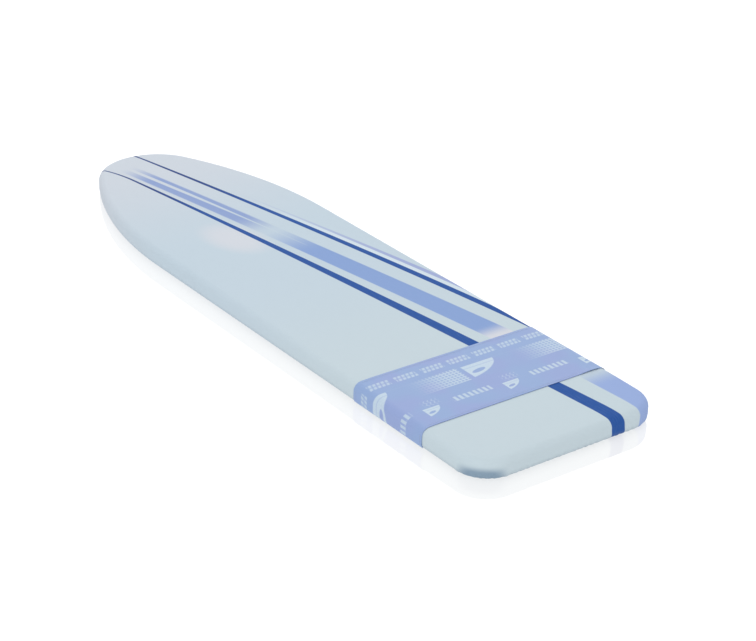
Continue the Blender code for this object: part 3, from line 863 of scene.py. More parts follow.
@dataclass(frozen=True)
class Leg:
    """One stretch of the way round the board: a straight run or a turn about a centre.

    Attributes:
        length: How long it is.
        run: The straight run's vector, or nothing on a turn.
        centre: The turn's centre.
        angle: How far it turns, anticlockwise from above.
    """

    length: float
    run: Vector | None = None
    centre: Vector = field(default_factory=Vector)
    angle: float = 0.0

    def steps(self, step: float) -> int:
        """How many parts of about that length it is made in."""
        return max(1, round(self.length / step))

    def sweep(self, shape: BMesh, geometry: list, step: float) -> list:
        """Carry part of a mesh along this leg, leaving its surface behind it.

        Args:
            shape: The mesh.
            geometry: What is carried: a point, or the points and edges of a section.
            step: The length of each part.

        Returns:
            The carried geometry at the leg's end.
        """
        count = self.steps(step)
        made = bmesh.ops.spin(
            shape,
            geom=geometry,
            cent=self.centre,
            axis=(0.0, 0.0, 1.0),
            dvec=self.run / count if self.run is not None else Vector(),
            angle=self.angle,
            steps=count,
            use_merge=False,
            use_normal_flip=False,
            use_duplicate=False,
        )
        return made["geom_last"]

    def points(self, start: Vector, step: float) -> list[Vector]:
        """The places along the leg after its start."""
        count = self.steps(step)
        found = []
        for index in range(1, count + 1):
            if self.run is not None:
                found.append(start + self.run * (index / count))
            else:
                turn = Matrix.Rotation(self.angle * index / count, 3, "Z")
                found.append(self.centre + turn @ (start - self.centre))
        return found


@dataclass(frozen=True)
class Spot:
    """Where a point is with respect to the outline.

    Attributes:
        inset: How far inside the outline it is.
        along: How far round the outline from the nose, on either side.
        outward: The level direction away from the board.
    """

    inset: float
    along: float
    outward: Vector


@dataclass(frozen=True)
class BoardOutline:
    """The board seen from above: a round nose, two long flanks and a square wide end."""

    length: float = 1.100
    width: float = 0.300
    nose_radius: float = 0.090
    flank_radius: float = 0.650
    corner_radius: float = 0.049

    @property
    def nose_x(self) -> float:
        """Centre of the nose."""
        return self.nose_radius - self.length / 2

    @property
    def flank_y(self) -> float:
        """How far beyond the middle line the flank's centre is."""
        return self.flank_radius - self.width / 2

    @property
    def flank_x(self) -> float:
        """Where the flank's arc meets the straight side."""
        return self.nose_x + math.sqrt((self.flank_radius - self.nose_radius) ** 2 - self.flank_y**2)

    @property
    def nose_angle(self) -> float:
        """How far round from the tip the nose's arc goes on each side."""
        return math.pi / 2 - self.flank_angle

    @property
    def flank_angle(self) -> float:
        """How far each flank turns."""
        return math.atan2(self.flank_x - self.nose_x, self.flank_y)

    @property
    def corner_x(self) -> float:
        """Centre of the wide end's corners along the board."""
        return self.length / 2 - self.corner_radius

    @property
    def corner_y(self) -> float:
        """Centre of the wide end's corners across the board."""
        return self.width / 2 - self.corner_radius

    def turn(self, x: float, y: float, radius: float, angle: float) -> Leg:
        """A turning leg."""
        return Leg(abs(radius * angle), None, Vector((x, y, 0.0)), angle)

    def straight(self, x: float, y: float) -> Leg:
        """A straight leg."""
        return Leg(math.hypot(x, y), Vector((x, y, 0.0)))

    def nose_legs(self, inset: float, back_x: float) -> list[Leg]:
        """The way from the right side round the nose to the left side.

        Args:
            inset: How far inside the outline it runs.
            back_x: Where it starts and ends on the straight sides.

        Returns:
            The legs in order.
        """
        run = back_x - self.flank_x
        flank = self.flank_radius - inset
        return [
            self.straight(-run, 0.0),
            self.turn(self.flank_x, -self.flank_y, flank, self.flank_angle),
            self.turn(self.nose_x, 0.0, self.nose_radius - inset, 2 * self.nose_angle),
            self.turn(self.flank_x, self.flank_y, flank, self.flank_angle),
            self.straight(run, 0.0),
        ]

    def corner_leg(self, side: int, inset: float) -> Leg:
        """The turn round one corner of the wide end."""
        radius = self.corner_radius - inset
        return self.turn(self.corner_x, side * self.corner_y, radius, math.pi / 2)

    def round_legs(self, inset: float, mouth: float = 0.0) -> list[Leg]:
        """The way right round from the wide end's middle, anticlockwise.

        Args:
            inset: How far inside the outline it runs.
            mouth: How far from the middle it starts and ends.

        Returns:
            The legs in order.
        """
        end = self.straight(0.0, self.corner_y - mouth)
        return [
            end,
            self.corner_leg(1, inset),
            *self.nose_legs(inset, self.corner_x),
            self.corner_leg(-1, inset),
            end,
        ]

    def path(self, legs: Sequence[Leg], start: Vector, step: float) -> list[Vector]:
        """The places along several legs, from start."""
        found = [start]
        for leg in legs:
            found += leg.points(found[-1], step)
        return found

    def locate(self, x: float, y: float) -> Spot:
        """Where a point is with respect to the outline."""
        side = math.copysign(1.0, y) if y else 1.0
        far = abs(y)
        nose_run = self.nose_radius * self.nose_angle
        flank_run = nose_run + self.flank_radius * self.flank_angle
        straight_run = flank_run + self.corner_x - self.flank_x
        if x > self.corner_x:
            if far > self.corner_y:
                away = Vector((x - self.corner_x, far - self.corner_y, 0.0))
                angle = math.atan2(away.x, away.y)
                inset = self.corner_radius - away.length
                away.normalize()
                along = straight_run + self.corner_radius * angle
                return Spot(inset, along, Vector((away.x, side * away.y, 0.0)))
            end_run = straight_run + self.corner_radius * math.pi / 2
            along = end_run + self.corner_y - far
            return Spot(self.length / 2 - x, along, Vector((1.0, 0.0, 0.0)))
        if x >= self.flank_x:
            along = flank_run + x - self.flank_x
            return Spot(self.width / 2 - far, along, Vector((0.0, side, 0.0)))
        angle = math.atan2(far, self.nose_x - x)
        if angle <= self.nose_angle:
            away = Vector((x - self.nose_x, far, 0.0))
            inset = self.nose_radius - away.length
            outward = away.normalized() if away.length > 1e-9 else Vector((-1.0, 0.0, 0.0))
            along = self.nose_radius * angle
            return Spot(inset, along, Vector((outward.x, side * outward.y, 0.0)))
        away = Vector((x - self.flank_x, far + self.flank_y, 0.0))
        angle = math.atan2(-away.x, away.y)
        inset = self.flank_radius - away.length
        away.normalize()
        along = flank_run - self.flank_radius * angle
        return Spot(inset, along, Vector((away.x, side * away.y, 0.0)))

    def area(self, inset: float) -> float:
        """The area inside the outline moved inwards by inset; a negative inset moves it out."""
        start = Vector((self.length / 2 - inset, 0.0, 0.0))
        ring = self.path(self.round_legs(inset), start, 0.004)
        twice = sum(a.x * b.y - b.x * a.y for a, b in zip(ring, ring[1:] + ring[:1]))
        return abs(twice) / 2


def smooth(value: float, low: float, high: float) -> float:
    """0 up to low, 1 from high, with a smooth step between them."""
    share = min(1.0, max(0.0, (value - low) / (high - low)))
    return share * share * (3 - 2 * share)


@dataclass(frozen=True)
class EdgeShape:
    """The section of the padded edge, shared by the cover, the band and the foam.

    Attributes:
        top_z: Height of the cover's upper face.
        top_round: Radius from the top into the side.
        low_z: Height of the turned-under cloth.
        low_round: Radius from the side to the turned-under cloth.
        slope_width: How far in from the edge the pad starts to fall away.
        slope_drop: How far it falls on the long sides.
        end_drop: How far it falls at the wide end.
    """

    top_z: float = 0.0306
    top_round: float = 0.0100
    low_z: float = 0.0012
    low_round: float = 0.0091
    slope_width: float = 0.034
    slope_drop: float = 0.0010
    end_drop: float = 0.0024

    @property
    def side_top(self) -> float:
        """Height where the upright side starts."""
        return self.top_z - self.top_round

    @property
    def side_low(self) -> float:
        """Height where the upright side ends."""
        return self.low_z + self.low_round

    def fall(self, x: float, spot: Spot, z: float) -> float:
        """How far the pad has settled at a point."""
        inwards = min(1.0, max(0.0, (self.slope_width - spot.inset) / self.slope_width))
        drop = self.slope_drop + (self.end_drop - self.slope_drop) * smooth(x, 0.440, 0.520)
        height = min(1.0, max(0.0, (z - 0.010) / (self.top_z - 0.010)))
        return drop * inwards**2 * height

    def down_the_side(self, inset: float, z: float, out: float = 0.0) -> float:
        """How far along the cloth a point is from where the flat top ends.

        Args:
            inset: The point's inset.
            z: Its height.
            out: How far outside the cover's face the cloth lies.

        Returns:
            The distance along the cloth, 0 on the flat top.
        """
        radius = self.top_round + out
        if z >= self.side_top:
            across = self.top_round - inset
            return radius * math.atan2(across, z - self.side_top) if across > 0 else 0.0
        quarter = radius * math.pi / 2
        if z >= self.side_low:
            return quarter + self.side_top - z
        side = quarter + self.side_top - self.side_low
        if inset <= self.low_round:
            across = max(self.low_round - inset, 1e-9)
            return side + self.low_round * math.atan2(self.side_low - z, across)
        return side + self.low_round * math.pi / 2 + inset - self.low_round

    def on_cut(self, point: Vector, spot: Spot, out: float = 0.0) -> tuple[float, float]:
        """The place on the flat cut of the cloth for a point of the board."""
        away = self.down_the_side(spot.inset, point.z, out)
        if away <= 0.0:
            return point.x, point.y
        place = point + spot.outward * (spot.inset - self.top_round + away)
        return place.x, place.y


# ---- mesh helpers -----------------------------------------------------------


@dataclass
class Workshop:
    """Turns meshes into pieces that ride on the CAD bodies."""

    collection: bpy.types.Collection
    nodes: dict[str, bpy.types.Object]

    def piece(
        self,
        name: str,
        shape: BMesh | bpy.types.Mesh,
        material: bpy.types.Material,
        slot: Slot,
        body: Body = Body.BOARD,
        replaced: Iterable[str] = (),
        crease: float | None = None,
    ) -> bpy.types.Object:
        """Make a piece.

        Args:
            name: The piece's name.
            shape: Its mesh.
            material: Its material.
            slot: The record's finish; not used.
            body: The CAD body that it rides on.
            replaced: The CAD nodes that it stands for.
            crease: Edges sharper than this many degrees stay sharp.

        Returns:
            The piece's object.
        """
        if isinstance(shape, BMesh):
            mesh = bpy.data.meshes.new(name)
            shape.to_mesh(mesh)
            shape.free()
        else:
            mesh = shape
            mesh.name = name
        mesh.shade_smooth()
        if crease is not None:
            mesh.set_sharp_from_angle(angle=math.radians(crease))
        mesh.materials.clear()
        mesh.materials.append(material)
        made = bpy.data.objects.new(name, mesh)
        self.collection.objects.link(made)
        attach(made, body.value)
        if replaced:
            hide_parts(*replaced)
        LOG.info("%s: %d faces on %s", name, len(mesh.polygons), body.value)
        return made

    def thicken(self, made: bpy.types.Object, thickness: float) -> None:
        """Give a sheet its thickness, inwards from its outer face."""
        solid = made.modifiers.new("thickness", "SOLIDIFY")
        solid.thickness = thickness
        solid.offset = -1.0
        solid.use_rim = True

    def eased(
        self,
        node: str,
        material: bpy.types.Material,
        slot: Slot,
        edge: float,
        body: Body = Body.BOARD,
        segments: int = 2,
    ) -> bpy.types.Object:
        """Replace a CAD node by a copy of it with eased edges.

        Args:
            node: The CAD node.
            material: Its material.
            slot: The record's finish; passed on to piece, which does not use it.
            edge: How wide the rounding of each edge is.
            body: The CAD body that it rides on.
            segments: How many faces make the rounding.

        Returns:
            The piece's object.
        """
        shape = bmesh.new()
        shape.from_mesh(self.nodes[node].data)
        bmesh.ops.remove_doubles(shape, verts=shape.verts[:], dist=1e-6)
        bmesh.ops.dissolve_limit(
            shape,
            angle_limit=math.radians(0.5),
            use_dissolve_boundaries=False,
            verts=shape.verts[:],
            edges=shape.edges[:],
        )
        for layer in list(shape.loops.layers.uv.values()):
            shape.loops.layers.uv.remove(layer)
        made = self.piece(node + "_finished", shape, material, slot, body, [node])
        for attribute in [a.name for a in made.data.attributes if a.name == "custom_normal"]:
            made.data.attributes.remove(made.data.attributes[attribute])
        bevel = made.modifiers.new("eased_edges", "BEVEL")
        bevel.width = edge
        bevel.segments = segments
        bevel.limit_method = "ANGLE"
        bevel.angle_limit = math.radians(50)
        bevel.use_clamp_overlap = True
        bevel.harden_normals = True
        return made

    def round_wire(
        self, name: str, line: Sequence[Vector], radius: float, sides: int = 3, closed: bool = False
    ) -> bpy.types.Mesh:
        """Make a mesh of round wire or cord along a line.

        Args:
            name: The mesh's name.
            line: The places along its middle.
            radius: Its radius.
            sides: Blender's bevel resolution.
            closed: Whether its ends meet.

        Returns:
            The mesh, with its own UV map along and around it.
        """
        curve = bpy.data.curves.new(name + "_line", "CURVE")
        curve.dimensions = "3D"
        curve.bevel_depth = radius
        curve.bevel_resolution = sides
        curve.use_fill_caps = True
        spline = curve.splines.new("POLY")
        spline.points.add(len(line) - 1)
        for point, place in zip(spline.points, line):
            point.co = (*place, 1.0)
        spline.use_cyclic_u = closed
        scratch = bpy.data.objects.new(name + "_line", curve)
        mesh = bpy.data.meshes.new_from_object(scratch)
        bpy.data.objects.remove(scratch)
        bpy.data.curves.remove(curve)
        return mesh


def tracked(forward: Vector, up: Vector, place: Vector) -> Matrix:
    """A matrix whose X axis points forward and whose Z axis points up."""
    x_axis = forward.normalized()
    y_axis = up.cross(x_axis).normalized()
    z_axis = x_axis.cross(y_axis)
    turn = Matrix((x_axis, y_axis, z_axis)).transposed().to_4x4()
    turn.translation = place
    return turn


STITCH_WIDTH = 0.0006


def add_stitch(shape: BMesh, place: Vector, forward: Vector, up: Vector, length: float) -> None:
    """Add one stitch, a short soft lozenge of thread half sunk into the cloth.

    Args:
        shape: The mesh that it is added to.
        place: Its middle.
        forward: The way it runs.
        up: The way the cloth faces.
        length: Its length.
    """
    size = Matrix.Diagonal((length / 2, STITCH_WIDTH / 2, STITCH_WIDTH * 0.42, 1.0))
    lie = tracked(forward, up, place) @ size @ Matrix.Rotation(math.pi / 2, 4, "Y")
    bmesh.ops.create_uvsphere(shape, u_segments=6, v_segments=4, radius=1.0, matrix=lie)


def widest_face(shape: BMesh, upwards: bool) -> BMFace:
    """The face with the most corners that looks up, or down."""
    sign = 1.0 if upwards else -1.0
    level = [f for f in shape.faces if f.normal.z * sign > 0.9]
    return max(level, key=lambda f: len(f.verts))


def step_in(shape: BMesh, upwards: bool, width: float) -> None:
    """Add a ring of faces of that width just inside the edge of the top or bottom face."""
    face = widest_face(shape, upwards)
    bmesh.ops.inset_region(shape, faces=[face], thickness=width, depth=0.0, use_even_offset=True)


def board_prism(outline: BoardOutline, inset: float, low: float, high: float, step: float) -> BMesh:
    """A closed upright prism of the board's outline.

    Args:
        outline: The outline.
        inset: How far inside it the prism stands.
        low: Its bottom.
        high: Its top.
        step: The length of each side face.

    Returns:
        The mesh, its faces pointing outwards.
    """
    shape = bmesh.new()
    carried = [shape.verts.new((outline.length / 2 - inset, 0.0, low))]
    for leg in outline.round_legs(inset):
        carried = leg.sweep(shape, carried, step)
    bmesh.ops.remove_doubles(shape, verts=shape.verts[:], dist=1e-5)
    bmesh.ops.edgeloop_fill(shape, edges=shape.edges[:])
    made = bmesh.ops.extrude_face_region(shape, geom=shape.faces[:])["geom"]
    upper = [item for item in made if isinstance(item, BMVert)]
    bmesh.ops.translate(shape, verts=upper, vec=(0.0, 0.0, high - low))
    bmesh.ops.recalc_face_normals(shape, faces=shape.faces[:])
    return shape


def round_edge(shape: BMesh, face: BMFace, radius: float, segments: int) -> None:
    """Round the edge all round one face."""
    bmesh.ops.bevel(
        shape,
        geom=list(face.edges),
        offset=radius,
        offset_type="OFFSET",
        segments=segments,
        profile=0.5,
        affect="EDGES",
        material=-1,
        clamp_overlap=False,
    )


def swept_tube(
    legs: Sequence[Leg], start: Vector, radii: tuple[float, float], sides: int, step: float
) -> BMesh:
    """An open tube of oval section along several legs.

    Args:
        legs: The way it goes.
        start: The middle of its first section, which stands across the first leg.
        radii: Half its width and half its height.
        sides: How many sides it has.
        step: The length of each part.

    Returns:
        The mesh, its faces pointing outwards.
    """
    shape = bmesh.new()
    first = legs[0].points(start, step)[0] - start
    stand = tracked(first, Vector((0.0, 0.0, 1.0)), start) @ Matrix.Rotation(math.pi / 2, 4, "Y")
    stretch = Matrix.Diagonal((radii[1], radii[0], 1.0, 1.0))
    bmesh.ops.create_circle(shape, cap_ends=False, segments=sides, radius=1.0, matrix=stand @ stretch)
    carried: list = shape.verts[:] + shape.edges[:]
    for leg in legs:
        carried = leg.sweep(shape, carried, step)
        carried = [item for item in carried if not isinstance(item, BMFace)]
    bmesh.ops.recalc_face_normals(shape, faces=shape.faces[:])
    return shape


# ---- sub-assemblies ---------------------------------------------------------


@dataclass
class FittedCover:
    """The printed cover with its band, its gathered hem and their sewing.

    Attributes:
        shop: Where the pieces are made.
        outline: The board's outline.
        edge: The section of its edge.
        cloth: The cover's thickness.
        turn_under: How far in from the outline the cover's edge lies.
        side_levels: Heights of extra rows of faces on the side.
        top_rings: Widths of the rings of faces round the top.
        gather_depth: How far a gather stands out under the board.
        gather_rise: How far up the cloth goes between two gathers.
        pucker_depth: How far a gather stands out on the side.
        band_x: Where the band starts and ends.
        band_wrap: How far it turns under the side.
        band_out: How far its face stands outside the cover's.
        band_cloth: Its thickness.
        band_seam: How far its stitches are from its edge.
        band_lift: How high its rear edge stands off where it is loose.
        hem_inset: How far in from the outline the hem's middle lies.
        hem_z: The height of its middle.
        hem_mouth: How far from the middle line the hem ends.
        hem_radii: Half its width and half its height.
        hem_gather: How much longer its tape is than its way; not used.
        hem_seam: How far its stitches are from the cover's edge.
    """

    shop: Workshop
    outline: BoardOutline = field(default_factory=BoardOutline)
    edge: EdgeShape = field(default_factory=EdgeShape)
    cloth: float = 0.0010
    turn_under: float = 0.0145
    side_levels: tuple[float, ...] = (0.0180, 0.0154, 0.0128)
    top_rings: tuple[float, ...] = (0.0035, 0.0050, 0.0065, 0.0090)
    gather_depth: float = 0.0012
    gather_rise: float = 0.0003
    pucker_depth: float = 0.0010
    band_x: tuple[float, float] = (0.2935, 0.4375)
    band_wrap: float = math.radians(42)
    band_out: float = 0.0009
    band_cloth: float = 0.0006
    band_seam: float = 0.0040
    band_lift: float = 0.0011
    hem_inset: float = 0.0180
    hem_z: float = 0.00231
    hem_mouth: float = 0.0140
    hem_radii: tuple[float, float] = (0.0034, 0.0025)
    hem_gather: float = 1.05
    hem_seam: float = 0.0022

    def fullness(self, x: float) -> float:
        """How much spare cloth the drawcord gathers at a place along the board."""
        return 0.25 + 0.75 * max(smooth(-x, 0.36, 0.50), smooth(x, 0.480, 0.510))

    def ripple(self, along: float, side: float) -> float:
        """The gathers' height at a place round the board, from 0 to 1."""
        turn = 2 * math.pi
        coarse = math.sin(turn * along / 0.0117 + 1.7 * math.sin(turn * along / 0.0710 + side))
        fine = math.sin(turn * along / 0.0073 + 2.1 * math.sin(turn * along / 0.0530 - side))
        return 0.5 + 0.3 * coarse + 0.2 * fine

    def gather_drop(self, ripple: float) -> float:
        """How far down the turned-under cloth goes for a gather's height."""
        return self.gather_depth * ripple - self.gather_rise

    def build(self) -> None:
        """Make every piece."""
        cover = self.build_cover()
        band = self.build_band()
        hem = self.build_hem()
        band_thread = self.build_band_stitches()
        hem_thread = self.build_hem_stitches()
        reach = self.edge.down_the_side(self.turn_under, self.edge.low_z)
        grown = reach - self.edge.top_round
        self.outline.width + 2 * grown
        self.outline.length + 2 * grown
        self.outline.area(-grown)
        a, b = self.hem_radii
        way = sum(leg.length for leg in self.outline.round_legs(self.hem_inset, self.hem_mouth))

    def build_cover(self) -> bpy.types.Object:
        """The fitted sheet, from the top to the edge turned under the rim."""
        edge = self.edge
        shape = board_prism(self.outline, 0.0, edge.low_z, edge.top_z, 0.0020)
        round_edge(shape, widest_face(shape, True), edge.top_round, 9)
        round_edge(shape, widest_face(shape, False), edge.low_round, 8)
        for z in self.side_levels:
            bmesh.ops.bisect_plane(
                shape,
                geom=shape.verts[:] + shape.edges[:] + shape.faces[:],
                dist=1e-6,
                plane_co=(0.0, 0.0, z),
                plane_no=(0.0, 0.0, 1.0),
            )
        for width in self.top_rings:
            step_in(shape, True, width)
        for _ in range(3):
            step_in(shape, False, (self.turn_under - edge.low_round) / 3)
        bmesh.ops.delete(shape, geom=[widest_face(shape, False)], context="FACES_ONLY")
        spots = {v: self.outline.locate(v.co.x, v.co.y) for v in shape.verts}
        layer = shape.loops.layers.uv.new("cut")
        # a second UV map carries the share of painted shade in the hollows between the gathers
        folds = shape.loops.layers.uv.new("folds")
        places = {v: edge.on_cut(v.co, spots[v]) for v in shape.verts}
        painted_fold_shade_share: dict[BMVert, float] = {}
        for vert, spot in spots.items():
            away = edge.down_the_side(spot.inset, vert.co.z)
            full = self.fullness(vert.co.x)
            ripple = self.ripple(spot.along, math.copysign(1.0, vert.co.y))
            # share of painted shade: full in the hollow between two gathers on the turned-under cloth
            painted_fold_shade_share[vert] = (1.0 - smooth(ripple, 0.05, 0.55)) * full * smooth(away, 0.027, 0.040)
            ripple *= full
            drop = edge.fall(vert.co.x, spot, vert.co.z)
            pucker = smooth(away, 0.020, 0.032) * (1.0 - smooth(away, 0.034, 0.040))
            vert.co += spot.outward * (self.pucker_depth * (ripple - 0.4) * pucker)
            vert.co.z -= drop + self.gather_drop(ripple) * smooth(away, 0.032, 0.041)
        for face in shape.faces:
            for loop in face.loops:
                loop[layer].uv = places[loop.vert]
                loop[folds].uv = (painted_fold_shade_share[loop.vert], 0.0)
        cotton = PrintedCotton().material()
        made = self.shop.piece(
            "cover_fabric_sewn", shape, cotton, Slot.COVER_PRINT, replaced=["cover_fabric"]
        )
        self.shop.thicken(made, self.cloth)
        return made

    def build_band(self) -> bpy.types.Object:
        """The heat-resistant band, wrapped over the top and down both sides."""
        edge, half = self.edge, self.outline.width / 2
        out, radius = self.band_out, self.edge.low_round + self.band_out
        start_x, end_x = self.band_x
        shape = bmesh.new()
        first_y = edge.low_round - half - radius * math.cos(self.band_wrap)
        first_z = edge.side_low - radius * math.sin(self.band_wrap)
        carried: list = [shape.verts.new((start_x, first_y, first_z))]

        def run(geometry: list, vector: Vector, steps: int) -> list:
            """Carry geometry straight on."""
            made = bmesh.ops.spin(
                shape,
                geom=geometry,
                cent=(0.0, 0.0, 0.0),
                axis=(0.0, 0.0, 1.0),
                dvec=vector / steps,
                angle=0.0,
                steps=steps,
            )
            return made["geom_last"]

        def bend(geometry: list, y: float, z: float, angle: float, steps: int) -> list:
            """Carry geometry round a line along the board at y and z."""
            made = bmesh.ops.spin(
                shape,
                geom=geometry,
                cent=(start_x, y, z),
                axis=(-1.0, 0.0, 0.0),
                dvec=(0.0, 0.0, 0.0),
                angle=angle,
                steps=steps,
            )
            return made["geom_last"]

        upper, lower = half - edge.top_round, half - edge.low_round
        side = edge.side_top - edge.side_low
        carried = bend(carried, -lower, edge.side_low, self.band_wrap, 5)
        carried = run(carried, Vector((0.0, 0.0, side)), 4)
        carried = bend(carried, -upper, edge.side_top, math.pi / 2, 8)
        carried = run(carried, Vector((0.0, 2 * upper, 0.0)), 70)
        carried = bend(carried, upper, edge.side_top, math.pi / 2, 8)
        carried = run(carried, Vector((0.0, 0.0, -side)), 4)
        bend(carried, lower, edge.side_low, self.band_wrap, 5)
        section = shape.verts[:] + shape.edges[:]
        middle = end_x - start_x - 0.0140
        for width, steps in ((0.0015, 2), (0.0055, 3), (middle, 22), (0.0055, 3), (0.0015, 2)):
            section = [item for item in section if not isinstance(item, BMFace)]
            section = run(section, Vector((width, 0.0, 0.0)), steps)
        bmesh.ops.recalc_face_normals(shape, faces=shape.faces[:])
        top = [f for f in shape.faces if abs(f.calc_center_median().y) < 0.1]
        if sum(f.normal.z for f in top) < 0.0:
            bmesh.ops.reverse_faces(shape, faces=shape.faces[:])
        layer = shape.loops.layers.uv.new("cut")
        spots = {}
        for vert in shape.verts:
            outward = Vector((0.0, math.copysign(1.0, vert.co.y), 0.0))
            spots[vert] = Spot(half - abs(vert.co.y), vert.co.x, outward)
        for face in shape.faces:
            for loop in face.loops:
                loop[layer].uv = edge.on_cut(loop.vert.co, spots[loop.vert], out)
        for vert, spot in spots.items():
            x, y = vert.co.x, vert.co.y
            hemmed = smooth(min(x - start_x, end_x - x), 0.0085, 0.0060)
            lift = 0.00008 * hemmed
            loose = smooth(x, end_x - 0.010, end_x)
            open_part = smooth(y, 0.098, 0.125) * (1.0 - smooth(y, 0.130, 0.144))
            lift += loose * (0.00003 + self.band_lift * open_part)
            spare = spot.outward if vert.co.z < edge.side_top else Vector((0.0, 0.0, 1.0))
            vert.co.z -= edge.fall(x, spot, vert.co.z)
            vert.co += spare * lift
        cloth = BandCloth(start=start_x).material()
        made = self.shop.piece(
            "park_band_sewn", shape, cloth, Slot.BAND_CLOTH, replaced=["park_band"]
        )
        self.shop.thicken(made, self.band_cloth)
        return made

    def build_hem(self) -> bpy.types.Object:
        """The gathered tape that the drawcord runs in."""
        start = Vector((self.outline.length / 2 - self.hem_inset, self.hem_mouth, self.hem_z))
        legs = self.outline.round_legs(self.hem_inset, self.hem_mouth)
        shape = swept_tube(legs, start, self.hem_radii, 12, 0.0019)
        for vert in shape.verts:
            spot = self.outline.locate(vert.co.x, vert.co.y)
            ripple = self.ripple(spot.along * 1.31 + 0.004, math.copysign(1.0, vert.co.y))
            mouth = smooth(vert.co.x, 0.50, 0.53) * (1.0 - smooth(abs(vert.co.y), 0.014, 0.022))
            squeeze = 1.0 - 0.26 * ripple * (1.0 - mouth)
            across = spot.inset - self.hem_inset
            vert.co += spot.outward * (across * (1.0 - squeeze) * 0.5)
            vert.co.z = max(0.0001, self.hem_z + (vert.co.z - self.hem_z) * squeeze)
        tape = WovenTape().material()
        made = self.shop.piece(
            "hem_casing_sewn", shape, tape, Slot.HEM_TAPE, replaced=["hem_casing"]
        )
        self.shop.thicken(made, 0.0005)
        return made

    def build_band_stitches(self) -> bpy.types.Object:
        """Two rows of lock stitch along each long edge of the band."""
        shape = bmesh.new()
        half, edge = self.outline.width / 2, self.edge
        rise = Vector((0.0, 0.0, 1.0))
        flat, pitch = half - edge.top_round, 0.0032
        for x in (self.band_x[0] + self.band_seam, self.band_x[1] - self.band_seam):
            count = round(2 * flat / pitch)
            for index in range(count):
                y = ((index + 0.5) / count * 2 - 1) * flat
                spot = Spot(half - abs(y), 0.0, rise)
                z = edge.top_z + self.band_out + 0.00020 - edge.fall(x, spot, edge.top_z)
                add_stitch(shape, Vector((x, y, z)), Vector((0.0, 1.0, 0.0)), rise, 0.0026)
            for side in (-1.0, 1.0):
                out = Vector((0.0, side, 0.0))
                for index in range(4):
                    z = edge.side_low + 0.0007 + index * 0.0031
                    place = Vector((x, side * (half + self.band_out + 0.0002), z))
                    add_stitch(shape, place, rise, out, 0.0026)
        thread = Thread("band_thread", from_screen(176, 192, 224))
        return self.shop.piece("band_stitching", shape, thread.material(), Slot.BAND_CLOTH)

    def build_hem_stitches(self) -> bpy.types.Object:
        """The row that sews the hem tape to the cover's edge."""
        shape = bmesh.new()
        inset = self.turn_under - self.hem_seam
        start = Vector((self.outline.length / 2 - inset, self.hem_mouth, self.edge.low_z))
        line = self.outline.path(self.outline.round_legs(inset, self.hem_mouth), start, 0.0036)
        for here, there in zip(line, line[1:]):
            middle = (here + there) / 2
            spot = self.outline.locate(middle.x, middle.y)
            ripple = self.ripple(spot.along, math.copysign(1.0, middle.y)) * self.fullness(middle.x)
            middle.z = self.edge.low_z - self.gather_drop(ripple) - 0.00005
            add_stitch(shape, middle, there - here, Vector((0.0, 0.0, -1.0)), 0.0028)
        thread = Thread("hem_thread", from_screen(228, 231, 236))
        return self.shop.piece("hem_stitching", shape, thread.material(), Slot.HEM_TAPE)


@dataclass
class Drawstring:
    """The cord in the hem, its spring lock and its end stop."""

    shop: Workshop
    outline: BoardOutline = field(default_factory=BoardOutline)
    hem_inset: float = 0.0180
    hem_z: float = 0.00231
    mouth: float = 0.0140
    cord_radius: float = 0.0013
    lock_z: float = 0.0078

    def lead(self) -> list[Vector]:
        """The cord's way from the end stop through the lock to the hem's right mouth."""
        z = self.lock_z
        places = [
            (0.4750, 0.0016, z),
            (0.4850, 0.0016, z),
            (0.4970, 0.0016, z),
            (0.5080, 0.0016, z - 0.0002),
            (0.5150, 0.0020, z - 0.0014),
            (0.5210, 0.0032, z - 0.0030),
            (0.5262, 0.0058, z - 0.0044),
            (0.5298, 0.0092, z - 0.0052),
            (0.5316, 0.0126, self.hem_z + 0.0001),
        ]
        return [Vector(place) for place in places]

    def smoothed(self, line: Sequence[Vector], parts: int) -> list[Vector]:
        """A smooth line through the same places."""
        found: list[Vector] = []
        for index in range(len(line) - 1):
            before = line[max(index - 1, 0)]
            here, there = line[index], line[index + 1]
            after = line[min(index + 2, len(line) - 1)]
            for part in range(parts):
                t = part / parts
                found.append(
                    0.5
                    * (
                        2 * here
                        + (there - before) * t
                        + (2 * before - 5 * here + 4 * there - after) * t**2
                        + (3 * here - before - 3 * there + after) * t**3
                    )
                )
        found.append(line[-1].copy())
        return found

    def build(self) -> None:
        """Make every piece."""
        start = Vector((self.outline.length / 2 - self.hem_inset, self.mouth, self.hem_z))
        hem = self.outline.path(self.outline.round_legs(self.hem_inset, self.mouth), start, 0.0040)
        lead = self.lead()
        back = [Vector((p.x, -p.y, p.z)) for p in reversed(lead)]
        line = self.smoothed(lead + hem[:1], 5) + hem[1:-1] + self.smoothed(hem[-1:] + back, 5)
        length = sum((b - a).length for a, b in zip(line, line[1:]))
        cord = self.shop.round_wire("drawcord", line, self.cord_radius)
        material = BraidedCord(length=length).material()
        self.shop.piece(
            "drawcord_braided", cord, material, Slot.WHITE_CORD, replaced=["drawcord"]
        )
        pale = MouldedPlastic("pale_plastic", from_screen(212, 216, 222)).material()
        blue = MouldedPlastic("blue_plastic", from_screen(70, 112, 184)).material()
        self.shop.eased("cord_lock_body", pale, Slot.PALE_PLASTIC, 0.0004)
        self.shop.eased("cord_lock_plunger", blue, Slot.BLUE_PLASTIC, 0.0004, Body.PLUNGER)
        self.shop.eased("cord_end_stop", blue, Slot.BLUE_PLASTIC, 0.0005)


